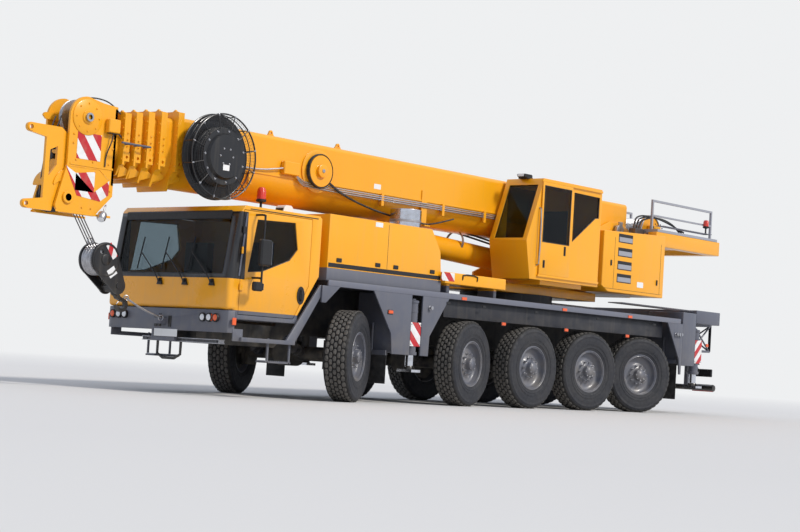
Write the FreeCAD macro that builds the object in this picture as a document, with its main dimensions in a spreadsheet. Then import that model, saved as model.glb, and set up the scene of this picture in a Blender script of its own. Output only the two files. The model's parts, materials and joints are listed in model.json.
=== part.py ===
import FreeCAD, Part

import os
import re

import Sketcher
from FreeCAD import Placement, Rotation, Vector

# Five-axle mobile crane with a six-part telescopic boom, parked in road trim.
# Lengths along the crane are measured forward from the first axle, +Y is left, +Z is up.
# One shift then moves everything so that the middle of the whole length is at the origin.

SIZES = {
    # Whole machine
    "front_reach": 5280,
    "rear_reach": 10600,
    "half_width": 1375,
    "fit_gap": 0.3,
    "running_gap": 8,
    # Wheels, knuckles and axles
    "wheel_radius": 685,
    "tyre_half": 195,
    "tyre_tread_half": 145,
    "tyre_shoulder": 24,
    "tyre_bulge_drop": 120,
    "rim_radius": 360,
    "rim_half": 162,
    "rim_wall": 14,
    "rim_lip": 26,
    "disc_offset": 40,
    "disc_thick": 22,
    "disc_dish": 60,
    "hub_radius": 150,
    "hub_cap_radius": 105,
    "hub_cap_reach": 150,
    "axle_spacing_front": 2728,
    "axle_spacing_rear": 1700,
    "kingpin_y": 980,
    "kingpin_inset": 200,
    "boss_radius": 75,
    "boss_half_height": 170,
    "fork_thick": 50,
    "fork_length": 100,
    "fork_flange": 60,
    "spindle_reach": 90,
    "brake_radius": 300,
    "brake_width": 125,
    "axle_tube_radius": 110,
    "gearcase_radius": 200,
    "gearcase_length": 340,
    "strut_y": 340,
    "strut_radius": 60,
    # Steering angles at rest, positive to the left
    "steer_first": 27,
    "steer_second": 12,
    "steer_fourth": -8.5,
    "steer_fifth": -20,
    # Carrier frame and deck
    "frame_half": 430,
    "frame_front": 2300,
    "frame_wall": 16,
    "frame_bottom": 950,
    "frame_nose_bottom": 740,
    "frame_nose_top": 1060,
    "frame_nose_end": 760,
    "frame_nose_slope": 260,
    "deck_bottom": 1700,
    "deck_thick": 40,
    "deck_front": 640,
    "deck_rear": 8910,
    "rail_drop": 10,
    "rail_height": 90,
    "rail_thick": 30,
    # Outriggers
    "front_box_x": -1232,
    "rear_box_x": -9452,
    "box_wall": 16,
    "box_bottom": 950,
    "beam_width": 230,
    "beam_height": 270,
    "beam_length": 2230,
    "beam_side_gap": 6,
    "jack_tube_radius": 92,
    "jack_tube_bottom": 760,
    "jack_tube_top": 1600,
    "jack_y": 1262,
    "jack_rod_radius": 66,
    "jack_foot_bottom": 500,
    "jack_foot_thick": 40,
    "jack_foot_length": 300,
    "jack_foot_width": 210,
    # Slewing ring and superstructure
    "slew_x": -5300,
    "ring_radius": 820,
    "ring_top": 1960,
    "table_top": 2110,
    "table_half": 700,
    "table_front": -3900,
    "table_rear": -7050,
    "table_floor_thick": 40,
    "cheek_rear": -8500,
    "cheek_y": 440,
    "cheek_thick": 40,
    "boom_pivot_x": -7900,
    "boom_pivot_z": 3350,
    "boom_pin_radius": 90,
    "cheek_top_radius": 260,
    "cheek_toe_x": -4900,
    "cheek_toe_top": 2330,
    "lift_foot_x": -6000,
    "lift_foot_z": 2480,
    "lift_eye_x": -2200,
    "lift_eye_z": 2690,
    "lift_pin_radius": 70,
    "lift_barrel_radius": 190,
    "lift_rod_radius": 120,
    "lift_barrel_end": 700,
    "lift_eye_half": 65,
    "lift_neck": 300,
    "lug_thick": 40,
    "housing_inner": 560,
    "housing_outer": 1300,
    "housing_front": -6370,
    "housing_rear": -8350,
    "housing_bottom": 2130,
    "housing_top_front": 3210,
    "housing_top_rear": 3290,
    "housing_chamfer": 200,
    "tail_y": 900,
    "tail_width": 200,
    "tail_bottom": 3110,
    "tail_top": 3380,
    "winch_x": -9150,
    "winch_z": 3450,
    "winch_radius": 250,
    "winch_flange_radius": 330,
    "winch_half": 420,
    "winch_shaft_radius": 60,
    "winch_bearing": 165,
    # Boom
    "boom_front": 2950,
    "boom_tail": -8300,
    "boom_axis_z": 3330,
    "boom_half": 430,
    "boom_top": 3890,
    "boom_corner": 70,
    "boom_wall": 14,
    "nest_step": 32,
    "nest_rear_step": 120,
    "nest_rear": 650,
    "collar_grow": 55,
    "collar_length": 110,
    "head_rear": 3850,
    "head_front": 4640,
    "head_half": 270,
    "head_plate": 40,
    # Hook block
    "hook_pivot_x": 4250,
    "hook_pivot_z": 2440,
    "hook_lean": 36,
    "hook_top_drop": 560,
    "hook_length": 1150,
    "hook_half": 150,
    # Cable reel on the boom
    "reel_x": 2370,
    "reel_z": 3380,
    "reel_radius": 615,
    "reel_hub_radius": 400,
    "reel_inner_y": 640,
    "reel_outer_y": 850,
    # Driver's cab
    "cab_half": 1300,
    "cab_wall": 60,
    "cab_roof": 2690,
    "cab_rear": 780,
    "cab_floor": 1100,
    "cab_front": 2540,
    "screen_foot_z": 1650,
    "screen_head_x": 2400,
    "screen_head_z": 2590,
    "screen_half": 1150,
    "glass_thick": 8,
    "door_front": 2335,
    "door_rear": 975,
    "door_bottom": 1160,
    "door_top": 2630,
    "hinge_out": 19,
    "hinge_radius": 14,
    # Bumper
    "bumper_bottom": 900,
    "bumper_top": 1210,
    "bumper_front": 2560,
    "bumper_rear": 2405,
    # Engine hood
    "hood_front": 640,
    "hood_rear": -1950,
    "hood_half": 1320,
    "hood_bottom": 1960,
    "hood_top": 2750,
    "hood_wall": 35,
    "engine_front": 250,
    "engine_length": 1500,
    "engine_half": 430,
    "engine_height": 850,
    "exhaust_x": -1660,
    "exhaust_y": 750,
    "exhaust_radius": 250,
    "exhaust_top": 3060,
    # Side skins
    "skin_thick": 30,
    "skin_bottom": 760,
    "locker_inner": 600,
    "inner_skin_y": 1230,
    "inner_skin_bottom": 1400,
    # Operator's cab
    "opcab_inner": 490,
    "opcab_outer": 1290,
    "opcab_wall": 45,
    "opcab_front": -4270,
    "opcab_rear": -6250,
    "opcab_bottom": 2180,
    "opcab_top": 3910,
    "opdoor_front": -4480,
    "opdoor_rear": -5340,
    "opdoor_bottom": 2270,
    "opdoor_top": 3845,
    "opdoor_thick": 24,
    "opdoor_overlap": 25,
    "oprail_height": 36,
    # Mounting pins and eyes
    "jib_pin_radius": 30,
    "jib_pin_inset": 60,
    "tow_pin_radius": 25,
}

doc = FreeCAD.newDocument("MobileCrane")
sheet = doc.addObject("Spreadsheet::Sheet", "Sizes")
for row, (alias, value) in enumerate(SIZES.items(), 1):
    sheet.set(f"A{row}", alias)
    sheet.set(f"B{row}", str(value))
    sheet.setAlias(f"B{row}", alias)
doc.recompute()

SHIFT = "(rear_reach - front_reach) / 2"
NODES = []


def bound(text):
    """Give an expression its sheet name wherever it uses a size."""
    def with_sheet(match):
        word = match.group(0)
        return f"Sizes.{word}" if word in SIZES else word
    return re.sub(r"[a-z_]+", with_sheet, str(text))


def number(text):
    """Value of an expression, for first guesses and for picking edges."""
    return float(sheet.evalExpression(bound(text)))


def place(item, x="0", y="0", z="0", angle=None, axis=Vector(0, 0, 1)):
    """Put an item at a point given from the first axle, turned about an axis."""
    item.Placement = Placement(Vector(0, 0, 0), Rotation(axis, 0))
    item.setExpression(".Placement.Base.x", bound(f"{x} + {SHIFT}"))
    item.setExpression(".Placement.Base.y", bound(y))
    item.setExpression(".Placement.Base.z", bound(z))
    if angle is not None:
        item.setExpression(".Placement.Rotation.Angle", bound(f"({angle}) * 1deg"))
    return item


def block(name, x, y, z):
    """Box between two limits on each axis."""
    item = doc.addObject("Part::Box", name)
    for size, limits in (("Length", x), ("Width", y), ("Height", z)):
        item.setExpression(size, bound(f"({limits[1]}) - ({limits[0]})"))
    return place(item, x[0], y[0], z[0])


def rod(name, axis, start, radius, length):
    """Cylinder from a start point along +X, +Y or +Z."""
    item = doc.addObject("Part::Cylinder", name)
    item.setExpression("Radius", bound(radius))
    item.setExpression("Height", bound(length))
    place(item, *start)
    turns = {"x": (Vector(0, 1, 0), 90), "y": (Vector(1, 0, 0), -90), "z": (Vector(0, 0, 1), 0)}
    item.Placement = Placement(item.Placement.Base, Rotation(*turns[axis]))
    return item


def sketch_loop(sketch, points):
    """Closed outline; a point's third entry rounds the way to the next point, plus to the left."""
    spots = [Vector(number(point[0]), number(point[1]), 0) for point in points]
    first = sketch.GeometryCount
    for index, point in enumerate(points):
        start, end = spots[index], spots[(index + 1) % len(spots)]
        if len(point) == 2:
            sketch.addGeometry(Part.LineSegment(start, end), False)
            continue
        radius = number(point[2])
        chord = end - start
        side = Vector(-chord.y, chord.x, 0).normalize()
        rise = max(radius ** 2 - (chord.Length / 2) ** 2, 0) ** 0.5
        centre = (start + end) / 2 + side * (rise if radius > 0 else -rise)
        circle = Part.Circle(centre, Vector(0, 0, 1), abs(radius))
        ends = (start, end) if radius > 0 else (end, start)
        sketch.addGeometry(Part.ArcOfCircle(circle, circle.parameter(ends[0]), circle.parameter(ends[1])), False)
    joints = []
    starts = []
    for index, point in enumerate(points):
        backward = len(point) == 3 and number(point[2]) < 0
        starts.append((first + index, 2 if backward else 1))
        joints.append((first + index, 1 if backward else 2))
    for index in range(len(points)):
        here, after = joints[index], starts[(index + 1) % len(points)]
        sketch.addConstraint(Sketcher.Constraint("Coincident", *here, *after))
    for index, point in enumerate(points):
        for kind, text in (("DistanceX", point[0]), ("DistanceY", point[1])):
            spot = sketch.addConstraint(Sketcher.Constraint(kind, -1, 1, *starts[index], number(text)))
            sketch.setExpression(f"Constraints[{spot}]", bound(text))
        if len(point) == 3:
            text = f"abs({point[2]})"
            spot = sketch.addConstraint(Sketcher.Constraint("Radius", first + index, number(text)))
            sketch.setExpression(f"Constraints[{spot}]", bound(text))


def sketched(name, role, loops, offset="0"):
    """Body with one sketch on an origin plane, moved along the plane's normal."""
    body = doc.addObject("PartDesign::Body", name)
    plane = next(item for item in body.Origin.OriginFeatures if item.Role == role)
    sketch = body.newObject("Sketcher::SketchObject", f"{name}_sketch")
    sketch.AttachmentSupport = [(plane, "")]
    sketch.MapMode = "FlatFace"
    sketch.setExpression(".AttachmentOffset.Base.z", bound(offset))
    for loop in loops:
        sketch_loop(sketch, loop)
    return body, sketch


def side_pad(name, loops, y, x="0"):
    """Outline of X and Z, padded between two Y limits."""
    body, sketch = sketched(name, "XZ_Plane", loops, f"-({y[0]})")
    pad = body.newObject("PartDesign::Pad", f"{name}_pad")
    pad.Profile = sketch
    pad.Reversed = True
    pad.setExpression("Length", bound(f"({y[1]}) - ({y[0]})"))
    return place(body, x)


def plan_pad(name, loops, z, x="0"):
    """Outline of X and Y, padded between two Z limits."""
    body, sketch = sketched(name, "XY_Plane", loops, z[0])
    pad = body.newObject("PartDesign::Pad", f"{name}_pad")
    pad.Profile = sketch
    pad.setExpression("Length", bound(f"({z[1]}) - ({z[0]})"))
    return place(body, x)


def front_pad(name, loops, x):
    """Outline of Y and Z, padded between two X limits."""
    body, sketch = sketched(name, "YZ_Plane", loops, x[0])
    pad = body.newObject("PartDesign::Pad", f"{name}_pad")
    pad.Profile = sketch
    pad.setExpression("Length", bound(f"({x[1]}) - ({x[0]})"))
    return place(body)


def turned(name, loops):
    """Outline of radius and Y, turned about the Y axis at the origin."""
    body, sketch = sketched(name, "XY_Plane", loops)
    revolution = body.newObject("PartDesign::Revolution", f"{name}_turn")
    revolution.Profile = sketch
    revolution.ReferenceAxis = (sketch, ["V_Axis"])
    return body


def fused(name, *items):
    result = doc.addObject("Part::MultiFuse", name)
    result.Shapes = list(items)
    result.Refine = True
    return result


def cut(name, base, *tools):
    result = doc.addObject("Part::Cut", name)
    result.Base = base
    result.Tool = tools[0] if len(tools) == 1 else grouped(f"{name}_tools", *tools)
    result.Refine = True
    return result


def mirrored(name, source):
    result = doc.addObject("Part::Mirroring", name)
    result.Source = source
    result.Normal = Vector(0, 1, 0)
    return result


def grouped(name, *items):
    """Pieces that stay separate solids."""
    result = doc.addObject("Part::Compound", name)
    result.Links = list(items)
    return result


def both_sides(name, *items):
    return grouped(name, *items, *(mirrored(f"{item.Name}_right", item) for item in items))


def node(name, item):
    item.Label = name
    NODES.append(item)
    return item


# Wheels: tyre and rim are separate solids that share a node
AXLES = (
    # number, distance ahead of the first axle, steering angle at rest
    (1, "0", "steer_first"),
    (2, "-axle_spacing_front", "steer_second"),
    (3, "-axle_spacing_front - axle_spacing_rear", "0"),
    (4, "-axle_spacing_front - 2 * axle_spacing_rear", "steer_fourth"),
    (5, "-axle_spacing_front - 3 * axle_spacing_rear", "steer_fifth"),
)
SIDES = (("left", "0"), ("right", "180"))


def wheel_pieces():
    mid = "kingpin_inset"
    tyre = turned("tyre_form", [[
        ("rim_radius", f"{mid} - rim_half"),
        ("wheel_radius - tyre_bulge_drop", f"{mid} - tyre_half"),
        ("wheel_radius - tyre_shoulder", f"{mid} - tyre_half + tyre_shoulder"),
        ("wheel_radius", f"{mid} - tyre_tread_half"),
        ("wheel_radius", f"{mid} + tyre_tread_half"),
        ("wheel_radius - tyre_shoulder", f"{mid} + tyre_half - tyre_shoulder"),
        ("wheel_radius - tyre_bulge_drop", f"{mid} + tyre_half"),
        ("rim_radius", f"{mid} + rim_half"),
    ]])
    outer = "rim_radius - fit_gap"
    inner = "rim_radius - fit_gap - rim_wall"
    face = f"{mid} + disc_offset"
    rim = turned("rim_form", [[
        (outer, f"{mid} - rim_half"),
        (outer, f"{mid} + rim_half"),
        (inner, f"{mid} + rim_half"),
        (f"{inner} - rim_lip", f"{face} + disc_thick"),
        ("hub_radius + disc_dish", f"{face} + disc_thick"),
        ("hub_radius", f"{face} + disc_dish"),
        ("hub_cap_radius", f"{face} + disc_dish"),
        ("hub_cap_radius * 0.9", f"{face} + hub_cap_reach"),
        ("0", f"{face} + hub_cap_reach"),
        ("0", face),
        (inner, face),
        (inner, f"{mid} - rim_half"),
    ]])
    return tyre, rim


def make_wheels():
    tyre, rim = wheel_pieces()
    for number_, x, steer in AXLES:
        for side, half_turn in SIDES:
            name = f"wheel_{number_}_{side}"
            wheel = grouped(name, tyre, rim)
            sign = "" if side == "left" else "-"
            place(wheel, x, f"{sign}kingpin_y", "wheel_radius", f"{steer} + {half_turn}")
            node(name, wheel)


def make_knuckles():
    """Boss between the fork arms, spindle, brake drum and hub, on each steered wheel."""
    boss = turned_z("knuckle_boss", "boss_radius", "-boss_half_height + fit_gap", "boss_half_height - fit_gap")
    drum = turned("knuckle_drum", [[
        ("0", "0"),
        ("boss_radius * 0.7", "0"),
        ("boss_radius * 1.2", "spindle_reach"),
        ("brake_radius", "spindle_reach"),
        ("brake_radius", "spindle_reach + brake_width"),
        ("hub_radius", "spindle_reach + brake_width"),
        ("hub_radius", "kingpin_inset + disc_offset - fit_gap"),
        ("0", "kingpin_inset + disc_offset - fit_gap"),
    ]])
    form = fused("knuckle_form", boss, drum)
    for number_, x, steer in AXLES:
        if number_ == 3:
            continue
        for side, half_turn in SIDES:
            name = f"knuckle_{number_}_{side}"
            knuckle = grouped(name, form)
            sign = "" if side == "left" else "-"
            place(knuckle, x, f"{sign}kingpin_y", "wheel_radius", f"{steer} + {half_turn}")
            node(name, knuckle)
    return drum


def turned_z(name, radius, low, high):
    """Upright cylinder about the local origin."""
    item = doc.addObject("Part::Cylinder", name)
    item.setExpression("Radius", bound(radius))
    item.setExpression("Height", bound(f"({high}) - ({low})"))
    item.setExpression(".Placement.Base.z", bound(low))
    return item


def local_block(name, x, y, z):
    """Box about a local origin, for forms that are placed later."""
    item = block(name, x, y, z)
    item.setExpression(".Placement.Base.x", bound(x[0]))
    return item


def local_rod(name, axis, start, radius, length):
    item = rod(name, axis, start, radius, length)
    item.setExpression(".Placement.Base.x", bound(start[0]))
    return item


def make_axle_beams(drum):
    """Axle tubes with gear case, struts up to the frame, and a fork for each kingpin."""
    flange_y = "kingpin_y - fork_length - fork_flange"
    tube_end = f"({flange_y})"
    case = local_rod("gear_case", "x", ("-gearcase_length / 2", "0", "0"), "gearcase_radius", "gearcase_length")
    struts = []
    for side, sign in (("left", ""), ("right", "-")):
        strut = local_rod(f"strut_{side}", "z", ("0", f"{sign}strut_y", "0"), "strut_radius",
                          "frame_bottom - wheel_radius")
        struts.append(strut)
    tube = local_rod("axle_tube", "y", ("0", f"-{tube_end}", "0"), "axle_tube_radius", f"2 * {tube_end}")
    fork_top = "boss_half_height + fork_thick"
    arm_x = ("-boss_radius", "boss_radius")
    flange = local_block("fork_flange", ("-boss_radius - 20", "boss_radius + 20"),
                         (flange_y, "kingpin_y - fork_length"), (f"-({fork_top})", fork_top))
    arms = []
    for level, low, high in (("upper", "boss_half_height", fork_top), ("lower", f"-({fork_top})", "-boss_half_height")):
        arms.append(local_block(f"fork_{level}", arm_x, ("kingpin_y - fork_length", "kingpin_y"), (low, high)))
        eye = turned_z(f"fork_eye_{level}", "boss_radius", low, high)
        eye.setExpression(".Placement.Base.y", bound("kingpin_y"))
        arms.append(eye)
    fork = fused("fork_left", flange, *arms)
    steered = fused("steered_axle_form", tube, case, *struts, fork, mirrored("fork_right", fork))
    hub = grouped("fixed_hub_left", drum)
    hub.setExpression(".Placement.Base.y", bound("kingpin_y"))
    long_end = "kingpin_y + spindle_reach / 2"
    long_tube = local_rod("fixed_tube", "y", ("0", f"-({long_end})", "0"), "axle_tube_radius", f"2 * ({long_end})")
    fixed = fused("fixed_axle_form", long_tube, case, *struts, hub, mirrored("fixed_hub_right", hub))
    beams = []
    for number_, x, _steer in AXLES:
        beam = grouped(f"axle_beam_{number_}", fixed if number_ == 3 else steered)
        beams.append(place(beam, x, "0", "wheel_radius"))
    node("axle_beams", grouped("axle_beams", *beams))


# Outriggers: two beams share each box, the left one ahead of the right one
PITCH = "beam_width + 2 * beam_side_gap + box_wall"
BOX_HALF = "(jack_y - jack_tube_radius - running_gap)"
OUTRIGGERS = (
    # name, sign of its side, front face of its box, channel counted from the front
    ("front_left", "", "front_box_x", 0),
    ("front_right", "-", "front_box_x", 1),
    ("rear_left", "", "rear_box_x", 0),
    ("rear_right", "-", "rear_box_x", 1),
)


def channel_front(box_x, channel):
    return f"({box_x} - box_wall - {channel} * ({PITCH}))"


def make_outriggers():
    for name, sign, box_x, channel in OUTRIGGERS:
        front = f"({channel_front(box_x, channel)} - beam_side_gap)"
        middle = f"({front} - beam_width / 2)"
        floor = "(box_bottom + box_wall + fit_gap)"
        ends = ("jack_y - beam_length", "jack_y") if sign == "" else ("-jack_y", "-jack_y + beam_length")
        beam = block(f"beam_{name}", (f"{front} - beam_width", front), ends, (floor, f"{floor} + beam_height"))
        tube = rod(f"tube_{name}", "z", (middle, f"{sign}jack_y", "jack_tube_bottom"), "jack_tube_radius",
                   "jack_tube_top - jack_tube_bottom")
        bore = rod(f"bore_{name}", "z", (middle, f"{sign}jack_y", "jack_tube_bottom - 1"),
                   "jack_rod_radius + fit_gap", "jack_tube_top - jack_tube_bottom - box_wall")
        full = fused(f"full_beam_{name}", beam, tube)
        node(f"outrigger_{name}", cut(f"outrigger_{name}", full, bore))
        stem = rod(f"stem_{name}", "z", (middle, f"{sign}jack_y", "jack_foot_bottom"), "jack_rod_radius",
                   "jack_tube_top - jack_foot_bottom - 4 * box_wall")
        foot = block(f"foot_{name}", (f"{middle} - jack_foot_width / 2", f"{middle} + jack_foot_width / 2"),
                     (f"{sign}jack_y - jack_foot_length / 2", f"{sign}jack_y + jack_foot_length / 2"),
                     ("jack_foot_bottom", "jack_foot_bottom + jack_foot_thick"))
        node(f"jack_{name}", fused(f"jack_{name}", stem, foot))


def make_frame():
    half = ("-frame_half", "frame_half")
    slope = "frame_nose_end - frame_nose_slope"
    girder = side_pad("frame_girder", [[
        ("frame_front", "frame_nose_bottom"),
        ("frame_front", "frame_nose_top"),
        ("frame_nose_end", "frame_nose_top"),
        (slope, "deck_bottom"),
        ("rear_box_x", "deck_bottom"),
        ("rear_box_x", "frame_bottom"),
        (slope, "frame_bottom"),
        ("frame_nose_end", "frame_nose_bottom"),
    ]], half)
    hollow = side_pad("frame_hollow", [[
        ("frame_front - frame_wall", "frame_nose_bottom + frame_wall"),
        ("frame_front - frame_wall", "frame_nose_top - frame_wall"),
        ("frame_nose_end - frame_wall", "frame_nose_top - frame_wall"),
        (f"{slope} - frame_wall", "deck_bottom - frame_wall"),
        ("rear_box_x + frame_wall", "deck_bottom - frame_wall"),
        ("rear_box_x + frame_wall", "frame_bottom + frame_wall"),
        (f"{slope} + frame_wall", "frame_bottom + frame_wall"),
        ("frame_nose_end + frame_wall", "frame_nose_bottom + frame_wall"),
    ]], ("-frame_half + frame_wall", "frame_half - frame_wall"))
    shell = cut("frame_shell", girder, hollow)
    boxes = []
    channels = []
    box_top = "box_bottom + 2 * box_wall + beam_height + 2 * beam_side_gap"
    for name, box_x in (("front", "front_box_x"), ("rear", "rear_box_x")):
        back = f"{box_x} - 3 * box_wall - 2 * (beam_width + 2 * beam_side_gap)"
        boxes.append(block(f"box_{name}", (back, box_x), (f"-{BOX_HALF}", BOX_HALF), ("box_bottom", box_top)))
        for channel in (0, 1):
            front = channel_front(box_x, channel)
            channels.append(block(f"channel_{name}_{channel}", (f"{front} - beam_width - 2 * beam_side_gap", front),
                                  (f"-{BOX_HALF} - 1", f"{BOX_HALF} + 1"),
                                  ("box_bottom + box_wall", f"{box_top} - box_wall")))
    ring = rod("slew_base", "z", ("slew_x", "0", "deck_bottom"), "ring_radius", "ring_top - deck_bottom")
    node("chassis_frame", cut("chassis_frame", fused("frame_with_boxes", shell, *boxes, ring), *channels))


def make_deck_and_skins():
    """Deck plate with rails, outer skins round the arches, recessed skins and the band under the hood."""
    plate = block("deck_plate", ("-deck_rear", "deck_front"), ("-half_width", "half_width"),
                  ("deck_bottom", "deck_bottom + deck_thick"))
    rails = []
    for side, sides in (("left", ("half_width - rail_thick", "half_width")),
                        ("right", ("-half_width", "-half_width + rail_thick"))):
        rails.append(block(f"deck_rail_{side}", ("-deck_rear", "deck_front"), sides,
                           ("deck_bottom - rail_drop", "deck_bottom - rail_drop + rail_height")))
    hole = rod("deck_hole", "z", ("slew_x", "0", "deck_bottom - 1"), "ring_radius + fit_gap", "deck_thick + 2")
    deck = cut("deck", fused("deck_with_rails", plate, *rails), hole)
    top = "deck_bottom - rail_drop"
    outer = ("half_width - skin_thick", "half_width")
    second = f"({channel_front('front_box_x', 1)} + box_wall)"
    behind = f"({channel_front('front_box_x', 2)} - running_gap)"
    tab = [("760", top), ("760", "skin_bottom + 680"), ("670", "skin_bottom + 680"), ("385", top)]
    front = [("-354", top), ("-790", "skin_bottom + 310"), ("-830", "skin_bottom")]
    back = [("-8470", top), ("-8900", "skin_bottom + 270"), ("-8940", "skin_bottom - 20"),
            ("-8990", "skin_bottom - 20"), ("-8990", top)]
    middle = [(second, top), (second, "skin_bottom"), ("-1680", "skin_bottom"),
              ("-1690", "skin_bottom + 310"), ("-2120", top)]
    left = []
    for name, loop in (("tab", tab), ("back", back), ("middle", middle),
                       ("front", front + [("front_box_x", "skin_bottom"), ("front_box_x", top)])):
        left.append(side_pad(f"skin_{name}_left", [loop], outer))
    right = [mirrored("skin_tab_right", left[0]), mirrored("skin_back_right", left[1])]
    short = [(behind, top), (behind, f"{top} - 240"), ("-2120", top)]
    for name, loop in (("middle", short), ("front", front + [(second, "skin_bottom"), (second, top)])):
        right.append(mirrored(f"skin_{name}_right", side_pad(f"skin_{name}_right_form", [loop], outer)))
    inner = block("inner_skin", ("-8460", "-2130"), ("inner_skin_y", "inner_skin_y + skin_thick"),
                  ("inner_skin_bottom", "deck_bottom"))
    band_z = ("deck_bottom + deck_thick", "hood_bottom")
    band = block("band_outer", ("hood_rear", "hood_front"), ("-hood_half", "hood_half"), band_z)
    room = block("band_room", ("hood_rear + hood_wall", "hood_front - hood_wall"),
                 ("-hood_half + hood_wall", "hood_half - hood_wall"), (band_z[0] + " - 1", "hood_bottom + 1"))
    node("deck_and_skins", grouped("deck_and_skins", deck, *left, *right, both_sides("inner_skins", inner),
                                   cut("hood_band", band, room)))


def make_hood():
    outer = side_pad("hood_outer", [[
        ("hood_front", "hood_bottom"), ("hood_front", "hood_top"), ("-1667", "hood_top"),
        ("-1895", "hood_bottom + 454"), ("hood_rear", "hood_bottom"),
    ]], ("-hood_half", "hood_half"))
    inner = side_pad("hood_inner", [[
        ("hood_front - hood_wall", "hood_bottom - 1"), ("hood_front - hood_wall", "hood_top - hood_wall"),
        ("-1667 + hood_wall", "hood_top - hood_wall"), ("-1895 + hood_wall", "hood_bottom + 454"),
        ("hood_rear + hood_wall", "hood_bottom - 1"),
    ]], ("-hood_half + hood_wall", "hood_half - hood_wall"))
    hole = rod("hood_hole", "z", ("exhaust_x", "exhaust_y", "hood_bottom"), "exhaust_radius + running_gap",
               "hood_top - hood_bottom + 1")
    node("engine_hood", cut("engine_hood", outer, inner, hole))
    floor = "deck_bottom + deck_thick"
    engine = block("engine", ("engine_front - engine_length", "engine_front"), ("-engine_half", "engine_half"),
                   (floor, f"{floor} + engine_height"))
    silencer = rod("silencer", "z", ("exhaust_x", "exhaust_y", floor), "exhaust_radius", f"exhaust_top - ({floor})")
    node("engine_and_exhaust", grouped("engine_and_exhaust", engine, silencer))


def make_lockers():
    """Lockers behind the skins, the walk boxes on the deck and the rear boxes."""
    inside = ("locker_inner", "half_width - skin_thick")
    front = block("locker_front", ("-1220", "-850"), inside, ("skin_bottom + 20", "deck_bottom - rail_drop"))
    rear = block("rear_box", ("rear_box_x", "-8990"), ("locker_inner", "half_width"), ("deck_bottom - 790", "1915"))
    walk = block("walk_box", ("-3540", "hood_rear - 40"), ("half_width - 500", "half_width"), ("1930", "2110"))
    feet = []
    for index, x in enumerate(("-3400", "-2200")):
        feet.append(block(f"walk_foot_{index}", (x, f"{x} + 80"), ("half_width - 420", "half_width - 80"),
                          ("deck_bottom + deck_thick", "1930")))
    walk = fused("walk_box_on_feet", walk, *feet)
    top = block("rear_top_box", ("-10300", "rear_box_x"), ("-half_width", "half_width"), ("1730", "1980"))
    node("storage_boxes", grouped("storage_boxes", both_sides("lockers", front, rear, walk), top))


def screen_x(z):
    """Where the windscreen's slope is at a height."""
    return f"(cab_front - ({z} - screen_foot_z) * (cab_front - screen_head_x) / (screen_head_z - screen_foot_z))"


CAB_LINE = [
    ("bumper_rear - 5", "cab_floor"), ("bumper_rear - 5", "bumper_top + 5"), ("cab_front", "bumper_top + 5"),
    ("cab_front", "screen_foot_z"), ("screen_head_x", "screen_head_z"), ("screen_head_x - 100", "cab_roof"),
    ("cab_rear + 40", "cab_roof"), ("cab_rear", "cab_roof - 40"), ("cab_rear", "1810"), ("1170", "cab_floor + 120"),
    ("1170", "cab_floor"),
]
CAB_ROOM = [
    ("bumper_rear - 5 - cab_wall", "cab_floor + cab_wall"), ("bumper_rear - 5 - cab_wall", "bumper_top + cab_wall"),
    ("cab_front - cab_wall", "bumper_top + cab_wall"), ("cab_front - cab_wall", "screen_foot_z"),
    ("screen_head_x - cab_wall", "screen_head_z - cab_wall"), ("screen_head_x - 100 - cab_wall", "cab_roof - cab_wall"),
    ("cab_rear + cab_wall", "cab_roof - cab_wall"), ("cab_rear + cab_wall", "1820"),
    ("1170 + cab_wall", "cab_floor + 140"), ("1170 + cab_wall", "cab_floor + cab_wall"),
]


def door_loop(gap):
    return [
        (f"door_front - {gap}", f"door_bottom + {gap}"), (f"door_front - {gap}", f"door_top - {gap}"),
        (f"door_rear + {gap}", f"door_top - {gap}"), (f"door_rear + {gap}", f"1650 + {gap}"),
        (f"1245 + {gap}", f"door_bottom + {gap}"),
    ]


DOOR_WINDOW = [
    ("2067", "2515"), ("1316", "2543"), ("1240", "2160"), ("1386", "1990"), ("1920", "1787"), ("2200", "1764"),
]


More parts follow.
